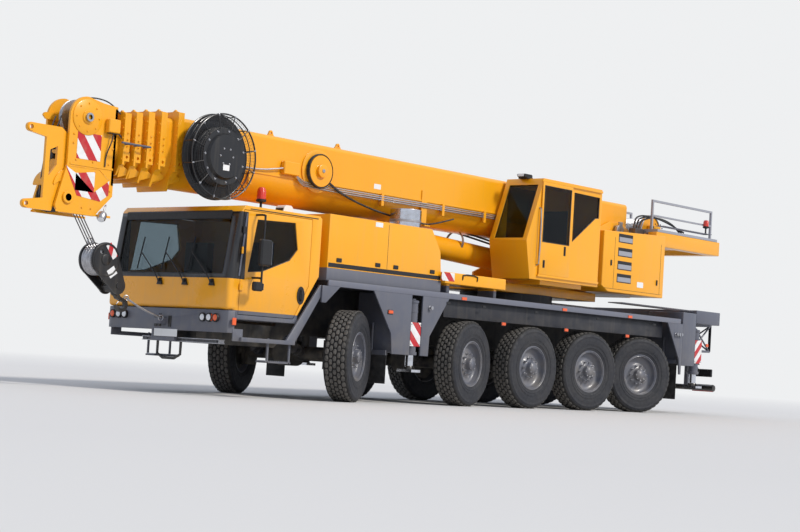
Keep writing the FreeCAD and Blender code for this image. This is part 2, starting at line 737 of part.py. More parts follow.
def make_driver_cab():
    outside = side_pad("cab_outside", [CAB_LINE], ("-cab_half", "cab_half"))
    room = side_pad("cab_room", [CAB_ROOM], ("-cab_half + cab_wall", "cab_half - cab_wall"))
    doorway = side_pad("cab_doorways", [door_loop("0")], ("-cab_half - 1", "cab_half + 1"))
    low, high = "screen_foot_z + 60", "screen_head_z - 60"
    window = block("screen_opening", ("screen_head_x - 2 * cab_wall", "cab_front + 1"),
                   ("-screen_half", "screen_half"), (low, high))
    node("driver_cab", cut("driver_cab", outside, room, doorway, window))
    inset = "cab_wall / 4"
    pane = side_pad("windscreen", [[
        (f"{screen_x(low)} - {inset}", low), (f"{screen_x(high)} - {inset}", high),
        (f"{screen_x(high)} - {inset} - glass_thick", high), (f"{screen_x(low)} - {inset} - glass_thick", low),
    ]], ("-screen_half", "screen_half"))
    node("driver_cab_glass", grouped("driver_cab_glass", pane))
    skin = ("cab_half - cab_wall", "cab_half")
    panel = side_pad("door_panel", [door_loop("running_gap"), DOOR_WINDOW], skin)
    hinges = []
    for level, z in (("lower", "1500"), ("upper", "2300")):
        hinges.append(rod(f"door_hinge_{level}", "z", ("door_front", "cab_half + hinge_out", z), "hinge_radius", "90"))
        hinges.append(block(f"door_leaf_{level}", ("door_front - 60", "door_front"),
                            ("cab_half", "cab_half + hinge_out + hinge_radius * 0.6"), (z, f"{z} + 90")))
    panel = fused("door_with_hinges", panel, *hinges)
    glass = side_pad("door_pane", [DOOR_WINDOW], ("cab_half - cab_wall / 2 - glass_thick", "cab_half - cab_wall / 2"))
    node("door_left", grouped("door_left", panel))
    node("door_right", mirrored("door_right", panel))
    node("door_glass_left", grouped("door_glass_left", glass))
    node("door_glass_right", mirrored("door_glass_right", glass))
    floor = "cab_floor + cab_wall"
    base = block("seat_base", ("1350", "1800"), ("450", "850"), (floor, "1480"))
    cushion = block("seat_cushion", ("1330", "1850"), ("400", "900"), ("1480", "1600"))
    back = block("seat_back", ("1330", "1450"), ("400", "900"), ("1600", "2250"))
    dash = block("dashboard", ("2200", "cab_front - cab_wall"), ("-cab_half + cab_wall", "cab_half - cab_wall"),
                 ("1400", "1600"))
    seats = both_sides("seats", fused("seat", base, cushion, back))
    node("driver_cab_interior", grouped("driver_cab_interior", seats, dash))


def make_bumper():
    outline = [
        ("bumper_front", "-1150"), ("bumper_front", "1150"), ("bumper_front - 60", "1290"), ("bumper_rear", "1330"),
        ("bumper_rear", "-1330"), ("bumper_front - 60", "-1290"),
    ]
    bar = plan_pad("bumper_bar", [outline], ("bumper_bottom", "bumper_top"))
    frame_link = block("bumper_link", ("frame_front", "bumper_rear"), ("-frame_half", "frame_half"),
                       ("bumper_bottom", "frame_nose_top"))
    step = block("front_step", ("bumper_front - 60", "bumper_front"), ("-260", "260"), ("740", "800"))
    hangers = []
    for side, y in (("left", "200"), ("right", "-240")):
        hangers.append(block(f"step_hanger_{side}", ("bumper_front - 60", "bumper_front"), (y, f"{y} + 40"),
                             ("780", "bumper_bottom + 10")))
    sides = []
    bar_side = block("entry_bar", ("1250", "2300"), ("cab_half + 10", "half_width"), ("790", "850"))
    link = block("entry_link", ("2240", "bumper_rear + 20"), ("cab_half + 10", "1330"), ("790", "bumper_bottom + 60"))
    arm = side_pad("entry_arm", [[("1250", "790"), ("1400", "850"), ("780", "1690"), ("640", "1690")]],
                   ("cab_half + 10", "half_width - skin_thick"))
    entry = fused("entry_frame", bar_side, link, arm)
    jaw = block("tow_jaw", ("bumper_front - 10", "bumper_front + 110"), ("-70", "70"), ("980", "1060"))
    whole = fused("bumper_full", bar, frame_link, step, *hangers, jaw, entry, mirrored("entry_frame_right", entry))
    pin_hole = rod("tow_pin_hole", "z", ("bumper_front + 60", "0", "970"), "tow_pin_radius", "100")
    node("front_bumper", cut("front_bumper", whole, pin_hole))


def make_lamps():
    items = []
    for name, y in (("inner", "850"), ("middle", "1000"), ("outer", "1120")):
        items.append(rod(f"headlamp_{name}", "x", ("bumper_front", y, "1100"), "55", "25"))
    for index, x in enumerate(("-2480", "-5200", "-7200")):
        items.append(block(f"marker_{index}", (f"{x} - 60", f"{x} + 60"), ("half_width", "half_width + 12"),
                           ("deck_bottom - 5", "deck_bottom + 40")))
    node("lamps", both_sides("lamps", *items))


def make_turntable():
    plate = block("table_plate", ("table_rear", "table_front"), ("-table_half", "table_half"),
                  ("ring_top + fit_gap", "table_top"))
    cheek = side_pad("cheek", [[
        ("cheek_toe_x", "table_top"), ("cheek_toe_x", "cheek_toe_top"),
        ("boom_pivot_x + cheek_top_radius * 0.8", "boom_pivot_z + cheek_top_radius * 0.6"),
        ("boom_pivot_x - cheek_top_radius * 0.6", "boom_pivot_z + cheek_top_radius * 0.6"),
        ("cheek_rear", "boom_pivot_z"), ("cheek_rear", "housing_bottom"), ("table_rear", "housing_bottom"),
        ("table_rear", "table_top"),
    ]], ("cheek_y", "cheek_y + cheek_thick"))
    floor = block("table_floor", ("cheek_rear", "table_rear + 200"), ("-cheek_y", "cheek_y"),
                  ("housing_bottom", "housing_bottom + table_floor_thick"))
    step = block("table_step", ("table_rear", "table_rear + 200"), ("-cheek_y", "cheek_y"),
                 ("table_top", "housing_bottom"))
    pins = []
    for name, x, z, radius in (("boom_pin", "boom_pivot_x", "boom_pivot_z", "boom_pin_radius"),
                               ("lift_pin", "lift_foot_x", "lift_foot_z", "lift_pin_radius")):
        pins.append(rod(name, "y", (x, "-cheek_y - 1", z), radius, "2 * cheek_y + 2"))
    node("turntable", fused("turntable", plate, floor, step, cheek, mirrored("cheek_right", cheek), *pins))


def make_housings():
    side = side_pad("housing_side", [[
        ("housing_front", "housing_bottom + housing_chamfer / 2"), ("housing_front", "housing_top_front"),
        ("housing_rear", "housing_top_rear"), ("housing_rear", "housing_bottom"),
        ("housing_front - housing_chamfer", "housing_bottom"),
    ]], ("housing_inner", "housing_outer"))
    link = block("housing_foot", ("housing_rear", "housing_front - 2 * housing_chamfer"),
                 ("cheek_y + cheek_thick", "housing_inner"), ("housing_bottom", "housing_bottom + 300"))
    tail = block("tail_beam", ("-rear_reach", "housing_rear"), ("tail_y", "tail_y + tail_width"),
                 ("tail_bottom", "tail_top"))
    tie = block("tail_tie", ("-rear_reach", "-rear_reach + 200"), ("0", "tail_y"), ("tail_bottom", "tail_top"))
    bearing_x = ("winch_x - winch_shaft_radius * 2", "winch_x + winch_shaft_radius * 2")
    bearing = block("winch_bearing", bearing_x, ("winch_half + fit_gap", "winch_half + winch_bearing"),
                    ("tail_bottom", "winch_z + winch_shaft_radius * 2"))
    bracket = block("winch_bracket", bearing_x, ("winch_half + fit_gap", "tail_y"), ("tail_bottom", "tail_top"))
    bore = rod("winch_bore", "y", ("winch_x", "winch_half", "winch_z"), "winch_shaft_radius + fit_gap",
               "winch_bearing + 1")
    half = cut("housing_left", fused("housing_half", side, link, tail, tie, bearing, bracket), bore)
    node("machinery_housing", fused("machinery_housing", half, mirrored("housing_right", half)))
    drum = rod("winch_barrel", "y", ("winch_x", "-winch_half", "winch_z"), "winch_radius", "2 * winch_half")
    flanges = []
    for name, y in (("left", "winch_half - 30"), ("right", "-winch_half")):
        flanges.append(rod(f"winch_flange_{name}", "y", ("winch_x", y, "winch_z"), "winch_flange_radius", "30"))
    half_shaft = "winch_half + winch_bearing"
    shaft = rod("winch_shaft", "y", ("winch_x", f"-({half_shaft})", "winch_z"), "winch_shaft_radius",
                f"2 * ({half_shaft})")
    node("winch_drum", fused("winch_drum", drum, *flanges, shaft))
    posts = []
    for index, x in enumerate(("-8400", "-10480")):
        posts.append(block(f"rail_post_{index}", (f"{x} - 20", f"{x} + 20"), ("920", "960"), ("tail_top", "3990")))
    top_rail = block("rail_top", ("-10500", "-8380"), ("920", "960"), ("3950", "3990"))
    mid_rail = block("rail_mid", ("-10500", "-8380"), ("920", "960"), ("3680", "3710"))
    plank = block("plank", ("-10500", "housing_rear - 20"), ("tail_y - 300", "tail_y + tail_width"),
                  ("tail_top", "tail_top + 50"))
    node("walkway", both_sides("walkway", fused("walkway_left", *posts, top_rail, mid_rail, plank)))


OPCAB_LINE = [
    ("opcab_front", "opcab_bottom"), ("opcab_front + 140", "2820"), ("opcab_front - 260", "opcab_top"),
    ("opcab_rear", "opcab_top"), ("opcab_rear", "opcab_bottom"),
]
OPCAB_ROOM = [
    ("opcab_front - opcab_wall", "opcab_bottom + opcab_wall"), ("opcab_front + 140 - opcab_wall", "2820"),
    ("opcab_front - 260 - opcab_wall", "opcab_top - opcab_wall"), ("opcab_rear + opcab_wall", "opcab_top - opcab_wall"),
    ("opcab_rear + opcab_wall", "opcab_bottom + opcab_wall"),
]
OPCAB_REAR_WINDOW = [
    ("-5420", "2900"), ("-5420", "3770"), ("opcab_rear + 60", "3760"), ("opcab_rear + 60", "3390"),
    ("-6090", "3380"),
]
OPDOOR_WINDOW = [
    ("opdoor_front - 50", "2830"), ("opdoor_front - 50", "opdoor_top - 60"),
    ("opdoor_rear + 50", "opdoor_top - 60"), ("opdoor_rear + 50", "2830"),
]


def opdoor_loop(inset):
    return [
        (f"opdoor_front - {inset}", f"opdoor_bottom + {inset}"), (f"opdoor_front - {inset}", f"opdoor_top - {inset}"),
        (f"opdoor_rear + {inset}", f"opdoor_top - {inset}"), (f"opdoor_rear + {inset}", f"opdoor_bottom + {inset}"),
    ]


def make_operator_cab():
    """Hollow cab beside the boom, with a sliding door that hangs between two outer rails."""
    outside = side_pad("opcab_outside", [OPCAB_LINE], ("opcab_inner", "opcab_outer"))
    room = side_pad("opcab_room", [OPCAB_ROOM], ("opcab_inner + opcab_wall", "opcab_outer - opcab_wall"))
    rear_window = side_pad("opcab_rear_opening", [OPCAB_REAR_WINDOW], ("opcab_outer - opcab_wall - 1", "opcab_outer + 1"))
    inner_window = side_pad("opcab_inner_opening", [OPDOOR_WINDOW], ("opcab_inner - 1", "opcab_inner + opcab_wall + 1"))
    doorway = side_pad("opcab_doorway", [opdoor_loop("opdoor_overlap")],
                       ("opcab_outer - opcab_wall - 1", "opcab_outer + 1"))
    front_window = block("opcab_front_opening", ("opcab_front - 330", "opcab_front + 200"),
                         ("opcab_inner + 2 * opcab_wall", "opcab_outer - 2 * opcab_wall"), ("2860", "3800"))
    shell = cut("opcab_shell", outside, room, rear_window, inner_window, doorway, front_window)
    foot = block("opcab_foot", ("-5900", "-4700"), ("cheek_y + cheek_thick", "opcab_inner + 700"),
                 ("table_top", "opcab_bottom"))
    rails = []
    for level, z in (("upper", "opdoor_top + fit_gap"), ("lower", "opdoor_bottom - fit_gap - oprail_height")):
        rails.append(block(f"opcab_rail_{level}", ("opcab_rear + 20", "opdoor_front + 20"),
                           ("opcab_outer", "opcab_outer + running_gap + opdoor_thick"), (z, f"{z} + oprail_height")))
    node("operator_cab", fused("operator_cab", shell, foot, *rails))
    door_y = ("opcab_outer + running_gap", "opcab_outer + running_gap + opdoor_thick")
    node("operator_door", side_pad("operator_door", [opdoor_loop("0"), OPDOOR_WINDOW], door_y))
    node("operator_door_glass", side_pad("operator_door_glass", [OPDOOR_WINDOW],
                                         (f"{door_y[0]} + glass_thick", f"{door_y[0]} + 2 * glass_thick")))
    rear_pane = side_pad("opcab_rear_pane", [OPCAB_REAR_WINDOW],
                         ("opcab_outer - opcab_wall / 2 - glass_thick", "opcab_outer - opcab_wall / 2"))
    inner_pane = side_pad("opcab_inner_pane", [OPDOOR_WINDOW],
                          ("opcab_inner + opcab_wall / 2", "opcab_inner + opcab_wall / 2 + glass_thick"))
    slope = "400 / (opcab_top - 2820)"
    low = f"(opcab_front + 140 - (2860 - 2820) * {slope} - opcab_wall / 2)"
    high = f"(opcab_front + 140 - (3800 - 2820) * {slope} - opcab_wall / 2)"
    front_pane = side_pad("opcab_front_pane", [[
        (low, "2860"), (high, "3800"), (f"{high} - glass_thick", "3800"), (f"{low} - glass_thick", "2860"),
    ]], ("opcab_inner + 2 * opcab_wall", "opcab_outer - 2 * opcab_wall"))
    node("operator_cab_glass", grouped("operator_cab_glass", rear_pane, inner_pane, front_pane))
    floor = "opcab_bottom + opcab_wall"
    base = block("op_seat_base", ("-5450", "-5050"), ("700", "1050"), (floor, "2600"))
    cushion = block("op_seat_cushion", ("-5550", "-5000"), ("620", "1130"), ("2600", "2720"))
    back = block("op_seat_back", ("-5600", "-5460"), ("620", "1130"), ("2720", "3450"))
    node("operator_cab_interior", fused("operator_cab_interior", base, cushion, back))


def tube_loops(step):
    """Boom section: flat top, upright sides and a round underside, outer and inner line."""
    loops = []
    for inset in (f"{step} * nest_step", f"({step} * nest_step + boom_wall)"):
        half = f"(boom_half - {inset})"
        top = f"(boom_top - {inset})"
        low = f"(boom_axis_z - {half})"
        loops.append([
            (half, "boom_axis_z"), (half, f"{top} - boom_corner", "boom_corner"), (f"{half} - boom_corner", top),
            (f"-({half} - boom_corner)", top, "boom_corner"), (f"-{half}", f"{top} - boom_corner"),
            (f"-{half}", "boom_axis_z", half), ("0", low, half),
        ])
    return loops


# Telescopic sections: each one's collar lies ahead of the one it slides in
SECTIONS = (
    # number, collar front ahead of the first axle
    (1, "3230"),
    (2, "3430"),
    (3, "3620"),
    (4, "3790"),
    (5, "head_rear"),
)


def collar(name, step, front):
    """Frame round a section's mouth; its inner face carries the next section."""
    half = f"(boom_half - {step} * nest_step + collar_grow)"
    bore = f"(boom_half - ({step} + 1) * nest_step + fit_gap)"
    bore_top = f"(boom_top - ({step} + 1) * nest_step + fit_gap)"
    top = f"(boom_top - {step} * nest_step + collar_grow)"
    ring = front_pad(f"{name}_ring", [
        [(half, "boom_axis_z"), (half, top), (f"-{half}", top), (f"-{half}", "boom_axis_z", half),
         ("0", f"boom_axis_z - {half}", half)],
        [(bore, "boom_axis_z"), (bore, f"{bore_top} - boom_corner", "boom_corner"),
         (f"{bore} - boom_corner", bore_top), (f"-({bore} - boom_corner)", bore_top, "boom_corner"),
         (f"-{bore}", f"{bore_top} - boom_corner"), (f"-{bore}", "boom_axis_z", bore),
         ("0", f"boom_axis_z - {bore}", bore)],
    ], (f"{front} - collar_length", front))
    return ring


def make_boom():
    tube = front_pad("boom_tube", tube_loops("0"), ("boom_tail", "boom_front - collar_length"))
    sleeve = rod("pivot_sleeve", "y", ("boom_pivot_x", "-boom_half", "boom_pivot_z"), "boom_pin_radius * 1.7",
                 "2 * boom_half")
    bore = rod("pivot_bore", "y", ("boom_pivot_x", "-boom_half - 20", "boom_pivot_z"), "boom_pin_radius + fit_gap",
               "2 * boom_half + 40")
    tail = block("boom_tail_plate", ("boom_tail", "boom_tail + boom_wall"), ("-boom_half + 40", "boom_half - 40"),
                 ("boom_axis_z - 200", "boom_top - 40"))
    inner = "lift_eye_half + fit_gap"
    lug = side_pad("lift_lug", [[
        ("lift_eye_x + 330", "boom_axis_z - boom_half + 30"), ("lift_eye_x - 330", "boom_axis_z - boom_half + 30"),
        ("lift_eye_x - 110", "lift_eye_z - 110"), ("lift_eye_x + 110", "lift_eye_z - 110"),
    ]], (inner, f"{inner} + lug_thick"))
    eye_bore = rod("lift_lug_bore", "y", ("lift_eye_x", f"-({inner} + lug_thick) - 1", "lift_eye_z"),
                   "lift_pin_radius + fit_gap", f"2 * ({inner} + lug_thick) + 2")
    mast = rod("reel_shaft", "y", ("reel_x", "boom_half - 10", "reel_z"), "80", "reel_inner_y - boom_half + 10 - fit_gap")
    body = fused("boom_body", tube, collar("boom_collar", "0", "boom_front"), sleeve, tail, lug,
                 mirrored("lift_lug_right", lug), mast)
    node("boom_base", cut("boom_base", body, bore, eye_bore))
    for index, front in SECTIONS:
        rear = f"boom_pivot_x + nest_rear + {index} * nest_rear_step"
        end = front if index == 5 else f"{front} - collar_length"
        section = front_pad(f"section_tube_{index}", tube_loops(str(index)), (rear, end))
        if index < 5:
            whole = fused(f"boom_section_{index}", section, collar(f"collar_{index}", str(index), front))
        else:
            whole = grouped(f"boom_section_{index}", section, make_head())
        node(f"boom_section_{index}", whole)


def make_head():
    """Side plates and sheave groups of the boom head, bolted to the last section's end."""
    back = "head_rear + fit_gap"
    plate = side_pad("head_plate", [[
        (back, "3850"), ("head_front - 250", "3950"), ("head_front", "3700"), ("head_front", "3000"),
        ("head_front + 150", "2450"), ("head_front + 50", "2350"), ("4140", "2350"), (back, "2650"),
    ]], ("head_half - head_plate", "head_half"))
    fork = side_pad("jib_fork", [[
        ("head_front - 20", "3300"), ("front_reach", "3370"), ("front_reach", "3480"), ("head_front - 20", "3480"),
    ]], ("head_half - head_plate", "head_half"))
    low_fork = side_pad("jib_fork_low", [[
        ("head_front", "2380"), ("front_reach", "2380"), ("front_reach", "2450"), ("head_front", "2520"),
    ]], ("head_half - head_plate", "head_half"))
    front_plate = block("head_front_plate", ("head_front - 60", "head_front - 20"), ("-head_half", "head_half"),
                        ("3000", "3400"))
    rear_plate = block("head_rear_plate", (back, f"{back} + head_plate"), ("-head_half", "head_half"),
                       ("2800", "3850"))
    top_sheave = rod("top_sheave", "y", ("4360", "-60", "3670"), "270", "120")
    top_shaft = rod("top_sheave_shaft", "y", ("4360", "-head_half", "3670"), "50", "2 * head_half")
    low_sheaves = rod("low_sheaves", "y", ("4440", "-200", "2560"), "190", "400")
    low_shaft = rod("low_sheave_shaft", "y", ("4440", "-head_half", "2560"), "50", "2 * head_half")
    bores = []
    for level, z in (("upper", "3425"), ("lower", "2415")):
        bores.append(rod(f"jib_bore_{level}", "y", ("front_reach - jib_pin_inset", "0", z), "jib_pin_radius",
                         "head_half + 1"))
    side = cut("head_side", fused("head_side_full", plate, fork, low_fork), *bores)
    return fused("boom_head", side, mirrored("head_side_right", side), front_plate, rear_plate, top_sheave, top_shaft,
                 low_sheaves, low_shaft)


def make_lift_cylinder():
    """Barrel and rod modelled along X from the foot pin, then leaned to the line to the eye."""
    length = "sqrt((lift_eye_x - lift_foot_x) ^ 2 + (lift_eye_z - lift_foot_z) ^ 2)"
    lean = "-atan((lift_eye_z - lift_foot_z) / (lift_eye_x - lift_foot_x)) / 1deg"
    barrel = local_rod("lift_barrel_body", "x", ("0", "0", "0"), "lift_barrel_radius", f"{length} - lift_barrel_end")
    foot = local_rod("lift_foot", "y", ("0", "-lift_barrel_radius", "0"), "lift_barrel_radius", "2 * lift_barrel_radius")
    foot_bore = local_rod("lift_foot_bore", "y", ("0", "-cheek_y", "0"), "lift_pin_radius + fit_gap", "2 * cheek_y")
    rod_bore = local_rod("lift_rod_bore", "x", ("lift_barrel_radius * 1.5", "0", "0"), "lift_rod_radius + fit_gap", length)
    whole = cut("lift_barrel_form", fused("lift_barrel_full", barrel, foot), foot_bore, rod_bore)
    placed = place(grouped("lift_barrel_placed", whole), "lift_foot_x", "0", "lift_foot_z", lean, Vector(0, 1, 0))
    node("lift_barrel", placed)
    stem = local_rod("lift_stem", "x", ("lift_barrel_radius * 1.5 + 10", "0", "0"), "lift_rod_radius",
                     f"{length} - lift_barrel_radius * 1.5 - 10 - lift_neck")
    neck = local_block("lift_neck", (f"{length} - lift_neck", length), ("-lift_eye_half", "lift_eye_half"),
                       ("-lift_rod_radius * 0.8", "lift_rod_radius * 0.8"))
    eye = local_rod("lift_eye", "y", (length, "-lift_eye_half", "0"), "lift_pin_radius * 2.2", "2 * lift_eye_half")
    whole_rod = fused("lift_rod_form", stem, neck, eye)
    node("lift_rod", place(grouped("lift_rod_placed", whole_rod), "lift_foot_x", "0", "lift_foot_z", lean,
                           Vector(0, 1, 0)))


def make_hook_block():
    """Modelled hanging straight down from its sheave, then leaned back to its tie."""
    body = side_pad("hook_body", [[
        ("-150", "-hook_top_drop + 120"), ("150", "-hook_top_drop + 120"), ("240", "-hook_top_drop - 60"),
        ("240", "-hook_top_drop - 500"), ("80", "-hook_top_drop - 760"), ("-80", "-hook_top_drop - 760"),
        ("-240", "-hook_top_drop - 500"), ("-240", "-hook_top_drop - 60"),
    ]], ("-hook_half", "hook_half"), "0")
    body.setExpression(".Placement.Base.x", "0")
    shank = local_block("hook_shank", ("-60", "60"), ("-60", "60"), ("-hook_top_drop - 900", "-hook_top_drop - 740"))
    ropes = []
    for index, y in enumerate(("-110", "-40", "30", "100")):
        ropes.append(local_block(f"hook_rope_{index}", ("-8", "8"), (y, f"{y} + 16"),
                                 ("-hook_top_drop + 100", "-10")))
    head = local_rod("hook_hanger", "y", ("0", "-140", "0"), "22", "280")
    whole = fused("hook_form", body, shank, *ropes, head)
    node("hook_block", place(grouped("hook_block_placed", whole), "hook_pivot_x", "0", "hook_pivot_z",
                             "hook_lean", Vector(0, 1, 0)))


def make_reel():
    form = rod("reel_disc", "y", ("reel_x", "reel_inner_y", "reel_z"), "reel_radius", "reel_outer_y - reel_inner_y")
    hub = rod("reel_hub", "y", ("reel_x", "reel_outer_y - 1", "reel_z"), "reel_hub_radius", "60")
    node("cable_reel", fused("cable_reel", form, hub))


make_wheels()
hub_drum = make_knuckles()
make_axle_beams(hub_drum)
make_frame()
make_outriggers()
make_deck_and_skins()
make_hood()
make_lockers()
make_driver_cab()
make_bumper()
make_lamps()
make_turntable()
make_housings()
make_operator_cab()
make_boom()
make_lift_cylinder()
make_hook_block()
make_reel()
doc.recompute()

for item in doc.Objects:
    if {"Invalid", "Error"} & set(item.State):
        raise RuntimeError(f"{item.Name} failed: {item.State}")
os.makedirs("parts", exist_ok=True)
for item in NODES:
    if item.Shape.isNull() or not item.Shape.isValid():
        raise RuntimeError(f"{item.Label} has no sound shape")
    item.Shape.exportStep(f"parts/{item.Label}.step")
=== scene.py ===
import json
import math

import bmesh
import bpy
from mathutils import Matrix, Vector


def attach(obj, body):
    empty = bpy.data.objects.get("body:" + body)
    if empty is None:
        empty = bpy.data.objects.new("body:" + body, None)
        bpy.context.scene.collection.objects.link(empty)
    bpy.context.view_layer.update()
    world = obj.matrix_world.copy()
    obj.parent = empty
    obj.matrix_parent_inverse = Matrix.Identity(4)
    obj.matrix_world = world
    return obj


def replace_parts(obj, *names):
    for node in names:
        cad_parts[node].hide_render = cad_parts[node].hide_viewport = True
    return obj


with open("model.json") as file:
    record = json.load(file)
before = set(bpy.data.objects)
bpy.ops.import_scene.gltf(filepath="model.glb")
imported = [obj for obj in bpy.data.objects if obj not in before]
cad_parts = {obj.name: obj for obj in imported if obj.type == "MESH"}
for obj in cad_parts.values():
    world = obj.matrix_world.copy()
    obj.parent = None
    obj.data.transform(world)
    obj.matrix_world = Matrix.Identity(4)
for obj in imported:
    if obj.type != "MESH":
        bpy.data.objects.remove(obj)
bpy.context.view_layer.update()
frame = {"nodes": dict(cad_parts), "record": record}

# Every length is in metres. The frame's origin lies 2.66 m behind the first axle.
FIRST_AXLE = 2.66
WHEEL_RADIUS = 0.685
ORIGIN, AHEAD, LEFT, UP = (0, 0, 0), (1, 0, 0), (0, 1, 0), (0, 0, 1)
BODIES = {node: body for body, nodes in frame["record"]["behaviour"]["bodies"].items()
          for node in nodes}


# Finishes
def from_srgb(red, green, blue):
    """Linear colour of one that was read off a screen, 0 to 255."""
    linear = []
    for value in (red, green, blue):
        share = value / 255
        linear.append(share / 12.92 if share <= 0.04045 else ((share + 0.055) / 1.055) ** 2.4)
    return (*linear, 1.0)


def shaded(colour, share):
    """Colour made darker or lighter by a share."""
    return tuple(min(part * share, 1.0) for part in colour[:3]) + (1.0,)


def add_node(tree, kind, operation=None, **inputs):
    """Node with its inputs linked or set; _0 names the first socket, _1 the next."""
    node = tree.nodes.new(kind)
    if operation:
        node.operation = operation
    for key, value in inputs.items():
        socket = node.inputs[int(key[1:])] if key[0] == "_" else node.inputs[key.replace("_", " ")]
        feed(tree, socket, value)
    return node


def feed(tree, socket, value):
    if isinstance(value, bpy.types.NodeSocket):
        tree.links.new(value, socket)
    else:
        socket.default_value = value


class Recipe:
    """A material's node tree with short calls for the nodes that the finishes share."""

    def __init__(self, name):
        self.material = bpy.data.materials.new(name)
        self.material.use_nodes = True
        self.tree = self.material.node_tree
        self.shader = self.tree.nodes["Principled BSDF"]
        self.place = self.tree.nodes.new("ShaderNodeTexCoord").outputs["Object"]
        self.axes = self.add("ShaderNodeSeparateXYZ", Vector=self.place).outputs

    def add(self, kind, operation=None, **inputs):
        return add_node(self.tree, kind, operation, **inputs)

    def math(self, operation, first, second=0.0):
        return self.add("ShaderNodeMath", operation, _0=first, _1=second).outputs[0]

    def noise(self, scale, detail=3.0, place=None):
        node = self.add("ShaderNodeTexNoise", Vector=place or self.place, Scale=scale,
                        Detail=detail)
        return node.outputs["Fac"]

    def band(self, value, low, high, start=0.0, end=1.0):
        """Value carried from low..high onto start..end, clamped."""
        node = self.add("ShaderNodeMapRange", _0=value, _1=low, _2=high, _3=start, _4=end)
        return node.outputs[0]

    def mix(self, share, first, second):
        node = self.tree.nodes.new("ShaderNodeMix")
        node.data_type = "RGBA"
        for socket, value in (("Factor", share), (6, first), (7, second)):
            feed(self.tree, node.inputs[socket], value)
        return node.outputs[2]

    def inside(self, limits):
        """1 inside limits such as x=(low, high); None leaves an end open, y counts both ways."""
        share = None
        for axis, (low, high) in limits.items():
            value = self.axes[axis.upper()]
            if axis == "y":
                value = self.math("ABSOLUTE", value)
            for limit, operation in ((low, "GREATER_THAN"), (high, "LESS_THAN")):
                if limit is not None:
                    test = self.math(operation, value, limit)
                    share = test if share is None else self.math("MULTIPLY", share, test)
        return share

    def zoned(self, colour, zones):
        """Colour with others laid over it inside boxes; x is measured from the first axle."""
        for limits, other in zones:
            moved = {axis: tuple(None if end is None else end + (FIRST_AXLE if axis == "x" else 0)
                                 for end in ends) for axis, ends in limits.items()}
            colour = self.mix(self.inside(moved), colour, other)
        return colour

    def bump(self, height, distance, strength=1.0):
        node = self.add("ShaderNodeBump", Height=height, Distance=distance, Strength=strength)
        feed(self.tree, self.shader.inputs["Normal"], node.outputs[0])

    def set(self, **inputs):
        for key, value in inputs.items():
            feed(self.tree, self.shader.inputs[key.replace("_", " ")], value)
        return self.material


DUST = from_srgb(150, 140, 122)


def painted(name, colour, rough=0.34, dust=0.35, coat=0.25, zones=(), clean=1.9):
    """Sprayed enamel: fading, rain streaks, orange peel, and dust that thickens downwards."""
    recipe = Recipe(name)
    colour = recipe.zoned(colour, zones)
    x, y, z = (recipe.axes[axis] for axis in "XYZ")
    fade = recipe.band(recipe.noise(0.7), 0.35, 0.65, 0.0, 0.1)
    faded = recipe.mix(fade, colour, recipe.mix(0.35, colour, (0.02, 0.02, 0.02, 1.0)))
    drawn = recipe.add("ShaderNodeCombineXYZ", X=x, Y=y,
                       Z=recipe.math("MULTIPLY", z, 0.06)).outputs[0]
    streaks = recipe.band(recipe.noise(14.0, 5.0, drawn), 0.52, 0.8, 0.0, 0.16)
    streaked = recipe.mix(streaks, faded, recipe.mix(0.6, colour, DUST))
    height = recipe.band(z, 0.3, clean, 1.0, 0.0)
    patches = recipe.band(recipe.noise(5.0, 6.0), 0.35, 0.75)
    share = recipe.math("MULTIPLY", recipe.math("MULTIPLY", height, patches), dust)
    dusty = recipe.mix(share, streaked, DUST)
    specks = recipe.band(recipe.noise(38.0, 3.0), 0.7, 0.76, 0.0, 0.35)
    spotted = recipe.mix(specks, dusty, recipe.mix(0.5, colour, (0.01, 0.01, 0.012, 1.0)))
    smear = recipe.noise(2.3, 5.0)
    recipe.bump(recipe.noise(900.0, 2.0), 0.0004, 0.25)
    return recipe.set(Base_Color=spotted,
                      Roughness=recipe.band(smear, 0.3, 0.7, rough - 0.06, rough + 0.1),
                      Coat_Weight=coat, Coat_Roughness=0.12)


YELLOW = from_srgb(238, 164, 14)
GREY = from_srgb(88, 91, 103)
LIGHT_GREY = from_srgb(150, 152, 160)
NEAR_BLACK = from_srgb(27, 29, 38)
CHASSIS = from_srgb(30, 31, 36)
BLACK = from_srgb(20, 20, 23)
yellow_paint = painted("yellow_enamel", YELLOW)
grey_paint = painted("grey_enamel", GREY, 0.42, 0.3, 0.1)
rim_paint = painted("wheel_grey_enamel", from_srgb(96, 99, 110), 0.38, 0.45, 0.1)
dark_paint = painted("near_black_panel", NEAR_BLACK, 0.5, 0.35, 0.0)
chassis_paint = painted("chassis_black", CHASSIS, 0.6, 0.5, 0.0)
light_paint = painted("light_grey_enamel", LIGHT_GREY, 0.45, 0.3, 0.0)
black_paint = painted("black_enamel", BLACK, 0.35, 0.2, 0.2)
white_paint = painted("white_label", from_srgb(226, 227, 228), 0.5, 0.2, 0.0)
# The near-black inner skins inside the rail (|y| below 1.34) are painted shade of the recessed side
# wall; the grey zones are the fascia's and rail's own paint.
skin_paint_with_painted_shade = painted("side_skin_enamel_with_painted_shade", NEAR_BLACK, 0.45, 0.3, 0.05, zones=(
    ({"y": (1.34, None)}, GREY),
    ({"y": (1.36, None), "z": (1.69, None)}, from_srgb(104, 107, 120)),
    ({"z": (1.775, None)}, from_srgb(96, 98, 108)),
))
cab_paint = painted("cab_enamel", YELLOW, 0.3, 0.3, 0.4, zones=(
    ({"z": (None, 1.22)}, GREY),
    ({"x": (2.25, None), "z": (1.655, 2.6)}, BLACK),
))
box_paint = painted("side_box_enamel", GREY, 0.42, 0.3, 0.1,
                    zones=(({"x": (-3.6, -1.8), "z": (1.9, None)}, YELLOW),))


